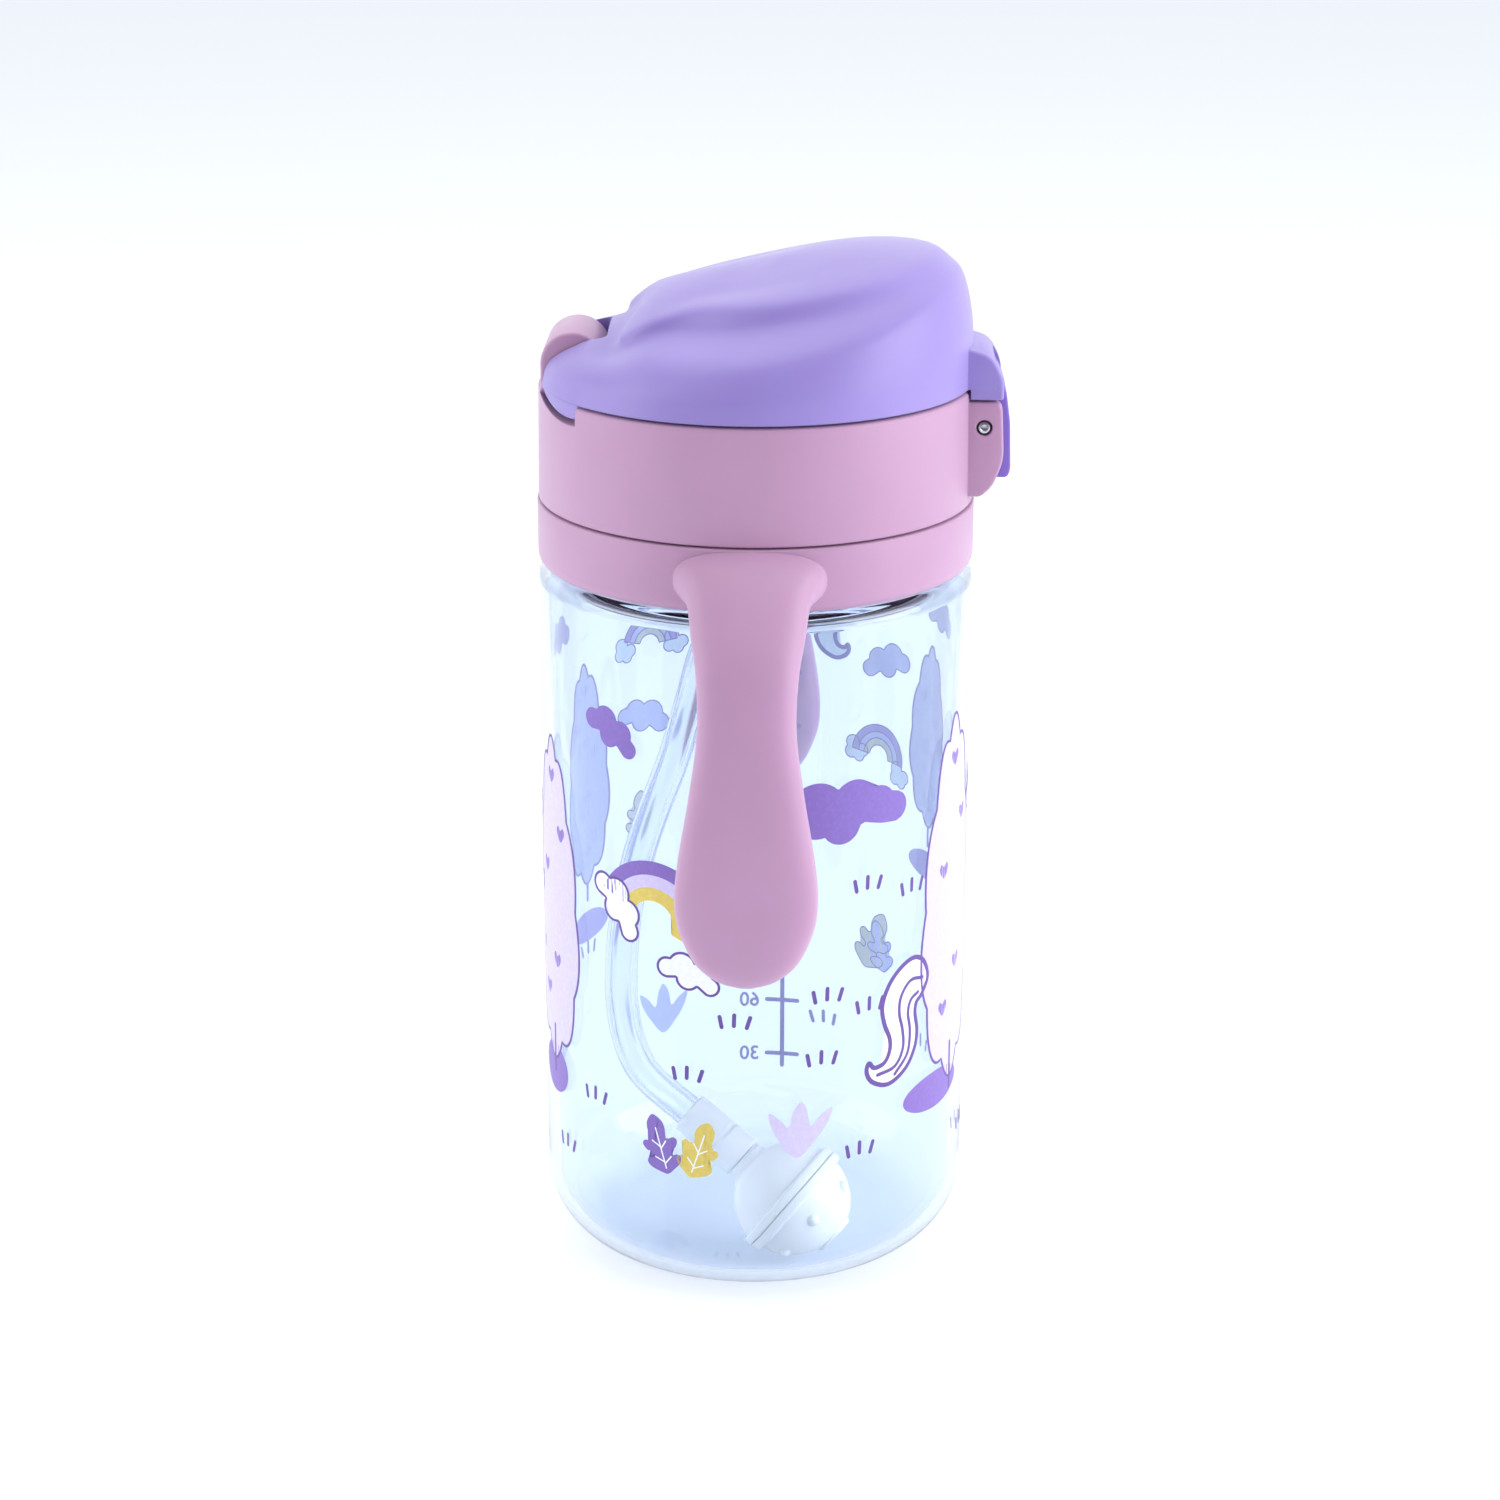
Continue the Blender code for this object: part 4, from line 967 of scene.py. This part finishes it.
# %% [markdown]
# ## Printed pattern
#
# The prints are sheets of ink on the outside of the cup. Each motif is drawn flat, in millimetres, and
# then wrapped round the cup: the coloured ink outside, and the paler back of it that shows through the
# clear wall from the far side.

# %% ink round the cup
PRINT_R = CUP_R / MM
sheets = {}


def spot_to_wall(s, z, lift):
    """A flat point (round the cup from the front, height) onto the wall, in metres."""
    radius = PRINT_R + lift
    return Vector((radius * math.sin(s / PRINT_R), -radius * math.cos(s / PRINT_R), z)) * MM


def lay_ink(outlines, material, lift):
    """Wraps flat outlines onto the cup and adds them to the sheet of that ink."""
    bm = bmesh.new()
    for outline in outlines:
        bm.faces.new([bm.verts.new((s, 0, z)) for s, z in outline])
    bmesh.ops.triangulate(bm, faces=bm.faces)
    low = min(v.co.x for v in bm.verts)
    high = max(v.co.x for v in bm.verts)
    cuts = int((high - low) / 0.8)
    for k in range(1, cuts + 1):
        bmesh.ops.bisect_plane(
            bm, geom=bm.verts[:] + bm.edges[:] + bm.faces[:], dist=1e-6,
            plane_co=(low + (high - low) * k / (cuts + 1), 0, 0), plane_no=(1, 0, 0),
        )
    for v in bm.verts:
        v.co = spot_to_wall(v.co.x, v.co.z, lift)
    mesh = bpy.data.meshes.new("ink")
    bm.to_mesh(mesh)
    bm.free()
    sheets.setdefault(material.name, (material, bmesh.new()))[1].from_mesh(mesh)
    bpy.data.meshes.remove(mesh)


def ribbon(line, width, closed=False):
    """Quads along a line; width is one value or a function of the share along the line."""
    points = [Vector(p) for p in line]
    count = len(points)
    sides = []
    for i, point in enumerate(points):
        after = points[(i + 1) % count] if closed or i + 1 < count else point
        before = points[i - 1] if closed or i > 0 else point
        along = (after - before).normalized()
        half = (width(i / (count - 1)) if callable(width) else width) / 2
        normal = Vector((-along.y, along.x)) * half
        sides.append((point - normal, point + normal))
    pairs = list(zip(sides, sides[1:])) + ([(sides[-1], sides[0])] if closed else [])
    return [(a[0], b[0], b[1], a[1]) for a, b in pairs]


def placed(outline, angle, z, tilt=0.0, size=1.0):
    """A motif's outline put at an angle round the cup (degrees from the front) and a height."""
    c, s = math.cos(math.radians(tilt)), math.sin(math.radians(tilt))
    at = math.radians(angle) * PRINT_R
    return [(at + size * (x * c - y * s), z + size * (x * s + y * c)) for x, y in outline]


INKS = {
    "purple": (INK_PURPLE, BACK_PURPLE), "lilac": (INK_LILAC, BACK_LILAC),
    "yellow": (INK_YELLOW, BACK_YELLOW), "white": (INK_WHITE, BACK_WHITE),
}


def motif(outline, kind, line=0.0):
    """Prints one closed outline in an ink, with a drawn line round it where a width is given."""
    front, back = INKS[kind]
    lay_ink([outline], back, 0.03)
    lay_ink([outline], front, 0.05)
    if line:
        border = ribbon(outline, line, closed=True)
        lay_ink(border, BACK_LINE, 0.02)
        lay_ink(border, INK_LINE, 0.06)


def stroke(line, width):
    """One drawn line in dark ink, with round ends."""
    shapes = ribbon(line, width)
    for end in (line[0], line[-1]):
        shapes.append(arc(end, width / 2, 0, 330, 11))
    lay_ink(shapes, BACK_LINE, 0.035)
    lay_ink(shapes, INK_LINE, 0.055)


print("ink tools ready")

# %% [markdown]
# ## Motifs
#
# Plump clouds, rainbows, leaves, grass, trees and curling fronds make the pattern. A cloud is the
# outline round a few circles, and the others are a few points smoothed into an outline.

# %% motifs
def puffs(circles, count=96):
    """The outline round overlapping circles (x, y, radius), as seen from the middle."""
    outline = []
    for i in range(count):
        angle = math.tau * i / count
        c, s = math.cos(angle), math.sin(angle)
        far = 0.0
        for x, y, radius in circles:
            aside = abs(y * c - x * s)
            if aside < radius:
                far = max(far, x * c + y * s + math.sqrt(radius * radius - aside * aside))
        outline.append((far * c, far * s))
    return outline


CLOUD = puffs([
    (-4.2, -0.6, 1.9), (-1.6, 1.0, 2.6), (2.2, 0.8, 2.4), (4.8, -0.6, 1.7), (0.3, -0.8, 2.2),
])
LONG_CLOUD = puffs([
    (-8.0, -1.0, 2.6), (-3.4, 1.2, 4.2), (2.4, 1.4, 3.5),
    (6.2, 0.2, 2.9), (9.0, -0.8, 2.3), (0.0, -1.4, 3.0),
])
PUFF = puffs([(-1.4, 0.5, 1.3), (1.1, 0.9, 1.5), (0.9, -1.0, 1.3), (-1.0, -0.9, 1.2)])


def smooth_outline(corners, per_span=5):
    """A closed outline through the corners, smoothed."""
    points = [Vector(corner) for corner in corners]
    points = [points[-1], *points, points[0], points[1]]
    spans = len(corners)
    return [tuple(smooth_point(points, 1 + i / per_span)) for i in range(spans * per_span)]


def leaf():
    """A lobed leaf, 9.7 mm long, whose stalk is at the origin."""
    half = [(0.3, 0.0), (1.2, 0.5), (2.5, 1.4), (2.9, 2.4), (2.3, 2.9), (1.3, 2.8), (1.4, 3.6),
            (2.5, 4.1), (3.0, 5.1), (2.5, 5.7), (1.4, 5.5), (1.1, 6.1), (1.5, 7.0), (1.4, 8.3),
            (0.8, 9.2)]
    return smooth_outline(half + [(0.0, 9.7)] + [(-x, y) for x, y in reversed(half)])


def veins():
    """The lines inside a leaf."""
    return [[(0, 0.8), (0, 7.6)], [(0, 1.6), (1.4, 2.7)], [(0, 1.9), (-1.4, 3.0)],
            [(0, 4.1), (1.2, 5.3)], [(0, 4.4), (-1.2, 5.6)]]


def blades(size=8.0):
    """Three plain blades from one foot."""
    corners = [(0.02, 0.0), (0.30, 0.30), (0.50, 0.62), (0.56, 0.88), (0.36, 0.74), (0.20, 0.56),
               (0.13, 0.84), (0.02, 1.0), (-0.10, 0.82), (-0.16, 0.54), (-0.32, 0.68), (-0.50, 0.78),
               (-0.44, 0.52), (-0.26, 0.24)]
    return smooth_outline([(x * size, y * size) for x, y in corners])


def rainbow(angle, z, tilt, size, thick_line, start=0, end=180):
    for low, high, kind in ((6.9, 8.9, "purple"), (5.1, 6.9, "lilac"), (3.2, 5.1, "yellow")):
        band = arc((0, 0), high, start, end, 24) + arc((0, 0), low, end, start, 24)
        motif(placed(band, angle, z, tilt, size), kind, thick_line)


def grass(angle, z, size=1.0):
    for x, lean in ((-2.0, -0.35), (0.0, 0.05), (2.1, 0.55)):
        line = [(x, -0.9), (x + lean, 0.9)] if x else [(x, -0.6), (x + lean, 1.3)]
        stroke(placed(line, angle, z, 0.0, size), 0.68 * size)


HEART = (
    (0.0, -1.3), (-1.1, -0.3), (-1.35, 0.6), (-0.8, 1.15),
    (0.0, 0.6), (0.8, 1.15), (1.35, 0.6), (1.1, -0.3),
)


def tree(angle, foot, height, width):
    """A plump tree: an outlined crown with scalloped sides, hearts, and a short trunk."""
    crown = []
    for i in range(120):
        a = math.tau * i / 120
        scallop = 1 + 0.1 * abs(math.cos(5.0 * a))
        pear = 1 - 0.22 * math.cos(a)
        crown.append((width / 2 * math.sin(a) * scallop * pear, height / 2 * math.cos(a) * scallop))
    motif(placed(crown, angle, foot + height / 2 + 3), "lilac", 0.45)
    stroke(placed([(0, -1.5), (0, 6.0)], angle, foot), 0.7)
    for x, y in ((-0.2, 0.1), (0.22, 0.24), (0.1, -0.2), (-0.18, -0.32), (0.0, 0.42)):
        spot = smooth_outline([(x * width + u, y * height + v) for u, v in HEART])
        motif(placed(spot, angle, foot + height / 2 + 3), "purple")


def frond(angle, z, size=1.0, flip=1):
    """A curling plume of three strands."""
    edge = [(-5.0, -5.3), (-4.2, -6.3), (-2.7, -5.9), (-1.9, -4.2), (-1.9, -2.2), (-2.8, 0.6),
            (-3.1, 3.6), (-2.0, 6.8), (0.0, 9.0), (2.2, 9.7), (4.0, 8.4), (4.8, 5.6), (3.6, 3.2),
            (2.6, 2.2), (2.4, 0.4), (2.8, -2.4), (2.4, -5.2), (0.8, -8.0), (-2.0, -9.6),
            (-4.4, -8.6), (-5.3, -6.8)]
    strands = (
        [(-3.7, -7.6), (-1.0, -7.0), (0.3, -4.5), (0.2, -1.5),
         (-0.4, 1.5), (-0.1, 4.2), (1.5, 6.2), (3.7, 5.9)],
        [(-1.0, -8.3), (1.1, -5.6), (1.5, -2.0), (1.1, 1.0), (1.6, 3.0), (2.9, 3.8)],
    )
    edge = [(1.25 * flip * x, y) for x, y in edge]
    motif(placed(smooth_outline(edge), angle, z, 0, size), "white", 0.75)
    for strand in strands:
        points = [Vector((1.25 * flip * x, y)) for x, y in strand]
        count = (len(points) - 1) * 5
        line = [tuple(smooth_point(points, i / 5)) for i in range(count + 1)]
        stroke(placed(line, angle, z, 0, size), 0.6 * size)


print("motifs ready")

# %% [markdown]
# ## Laying out the pattern
#
# Each row gives a motif's angle round the cup from the front handle, its height, tilt, size and ink.
# The order is the order of printing.

# %% the pattern on the cup
rainbow(-26.0, 61.8, -24, 1.1, 0.0)
# clouds: outline, angle, height, tilt, size, ink, line
for outline, angle, z, tilt, size, kind, line in (
    (CLOUD, -39.0, 90.6, -27, 0.86, "purple", 0.0),
    (LONG_CLOUD, 24.0, 79.3, 4, 1.04, "purple", 0.0),
    (CLOUD, -143.5, 76.4, 16, 0.86, "lilac", 0.22),
    (CLOUD, 139.0, 87.0, -16, 0.86, "lilac", 0.22),
    (CLOUD, -37.0, 63.5, -52, 0.92, "white", 0.4),
    (CLOUD, -16.0, 54.5, -20, 0.8, "white", 0.4),
    (CLOUD, 92.0, 74.0, 0, 1.0, "lilac", 0.22),
    (CLOUD, -100.0, 96.0, 0, 0.9, "purple", 0.0),
    (CLOUD, 112.0, 98.0, 8, 0.8, "lilac", 0.22),
):
    motif(placed(outline, angle, z, tilt, size), kind, line)
rainbow(141.8, 70.0, 6, 0.62, 0.2)
rainbow(-146.0, 89.0, 4, 0.6, 0.2, 10, 170)
for angle, z in ((150.0, 70.5), (133.5, 67.8), (-154.5, 89.0), (-137.0, 88.6)):
    motif(placed(PUFF, angle, z, 20, 0.85), "white", 0.2)
for outline, angle, z, tilt, size, kind, line in (
    (leaf(), -21.8, 21.4, 16, 1.0, "purple", 0.0),
    (leaf(), -15.6, 21.4, -18, 1.0, "yellow", 0.0),
    (blades(), 12.5, 25.0, -4, 1.15, "lilac", 0.0),
    (leaf(), -140.0, 56.0, 10, 0.8, "yellow", 0.2),
    (leaf(), 146.0, 33.0, 22, 1.1, "yellow", 0.2),
    (leaf(), 138.5, 33.0, -14, 0.9, "lilac", 0.2),
    (blades(), -150.0, 20.0, 0, 1.1, "lilac", 0.0),
    (leaf(), 100.0, 30.0, -8, 1.0, "purple", 0.0),
    (leaf(), -96.0, 26.0, 10, 1.0, "yellow", 0.2),
):
    motif(placed(outline, angle, z, tilt, size), kind, line)
for angle, tilt in ((-21.8, 16), (-15.6, -18)):
    for line in veins():
        vein = ribbon(placed(line, angle, 21.4, tilt, 1.0), 0.22)
        lay_ink(vein, INK_WHITE, 0.075)
for angle, z in (
    (32.0, 67.7), (47.0, 65.4), (20.7, 50.9), (-3.8, 47.3), (19.2, 40.8), (-16.4, 38.2),
    (-45.9, 30.9), (33.0, 48.2), (30.5, 24.8), (-82.0, 50.0), (108.0, 52.0), (-118.0, 40.0),
    (120.0, 24.0), (80.0, 20.0), (-60.0, 20.0), (160.0, 22.0), (-170.0, 30.0), (0.0, 98.0),
):
    grass(angle, z, 0.92)
tree(-68.0, 32.0, 48.0, 16.0)
tree(68.0, 30.0, 54.0, 17.0)
tree(-118.0, 50.0, 34.0, 12.0)
tree(118.0, 60.0, 28.0, 11.0)
frond(44.0, 44.0, 1.0)
frond(-90.0, 66.0, 0.9, -1)
frond(160.0, 92.0, 0.6)
for angle, z, wide, high in (
    (-68.0, 31.0, 5.0, 4.0), (59.0, 30.0, 8.0, 3.0),
    (-118.0, 44.0, 6.0, 2.6), (118.0, 55.0, 6.0, 2.4),
):
    turns = [math.tau * i / 48 for i in range(48)]
    mound = [(wide * math.cos(turn), high * math.sin(turn)) for turn in turns]
    motif(placed(mound, angle, z), "purple")

print("pattern laid out")

# %% [markdown]
# ## Scale
#
# A plain scale stands on the far side: one upright line, a tick each 30 ml, and its number.

# %% scale
SCALE_ANGLE = 173.0
FIRST_MARK = 14.7
MARK_STEP = 9.75
MARKS = 9
stroke(placed([(0, 12.6), (0, 101.0)], SCALE_ANGLE, 0), 0.75)
for step in range(1, MARKS + 1):
    z = FIRST_MARK + MARK_STEP * (step - 1)
    stroke(placed([(-2.7, 0), (2.7, 0)], SCALE_ANGLE, z), 0.72)
    text = bpy.data.curves.new("number", "FONT")
    text.body = str(30 * step)
    text.size = 3.5
    text.offset = 0.06
    holder = bpy.data.objects.new("number", text)
    bpy.context.scene.collection.objects.link(holder)
    bpy.context.view_layer.update()
    graph = bpy.context.evaluated_depsgraph_get()
    digits = bpy.data.meshes.new_from_object(holder.evaluated_get(graph))
    at = math.radians(SCALE_ANGLE) * PRINT_R + 4.0
    for v in digits.vertices:
        v.co = Vector((at + v.co.x, z - 1.2 + v.co.y, 0))
    for lift, material in ((0.035, BACK_LINE), (0.055, INK_LINE)):
        copy = digits.copy()
        for v in copy.vertices:
            v.co = spot_to_wall(v.co.x, v.co.y, lift)
        sheets[material.name][1].from_mesh(copy)
        bpy.data.meshes.remove(copy)
    bpy.data.objects.remove(holder)

print("scale of", MARKS, "marks")

# %% [markdown]
# ## Sheets of ink
#
# All the shapes in one ink become one sheet, with every face turned outwards. The sheets move with
# the cup.

# %% sheets of ink
for name, (material, bm) in sheets.items():
    for face in bm.faces:
        middle = face.calc_center_median()
        if face.normal.dot(Vector((middle.x, middle.y, 0))) < 0:
            face.normal_flip()
    mesh = bpy.data.meshes.new("print_" + name)
    bm.to_mesh(mesh)
    bm.free()
    sheet = bpy.data.objects.new("print_" + name, mesh)
    bpy.context.scene.collection.objects.link(sheet)
    finish_off(sheet, "bottle", material)
print(len(sheets), "sheets of ink")
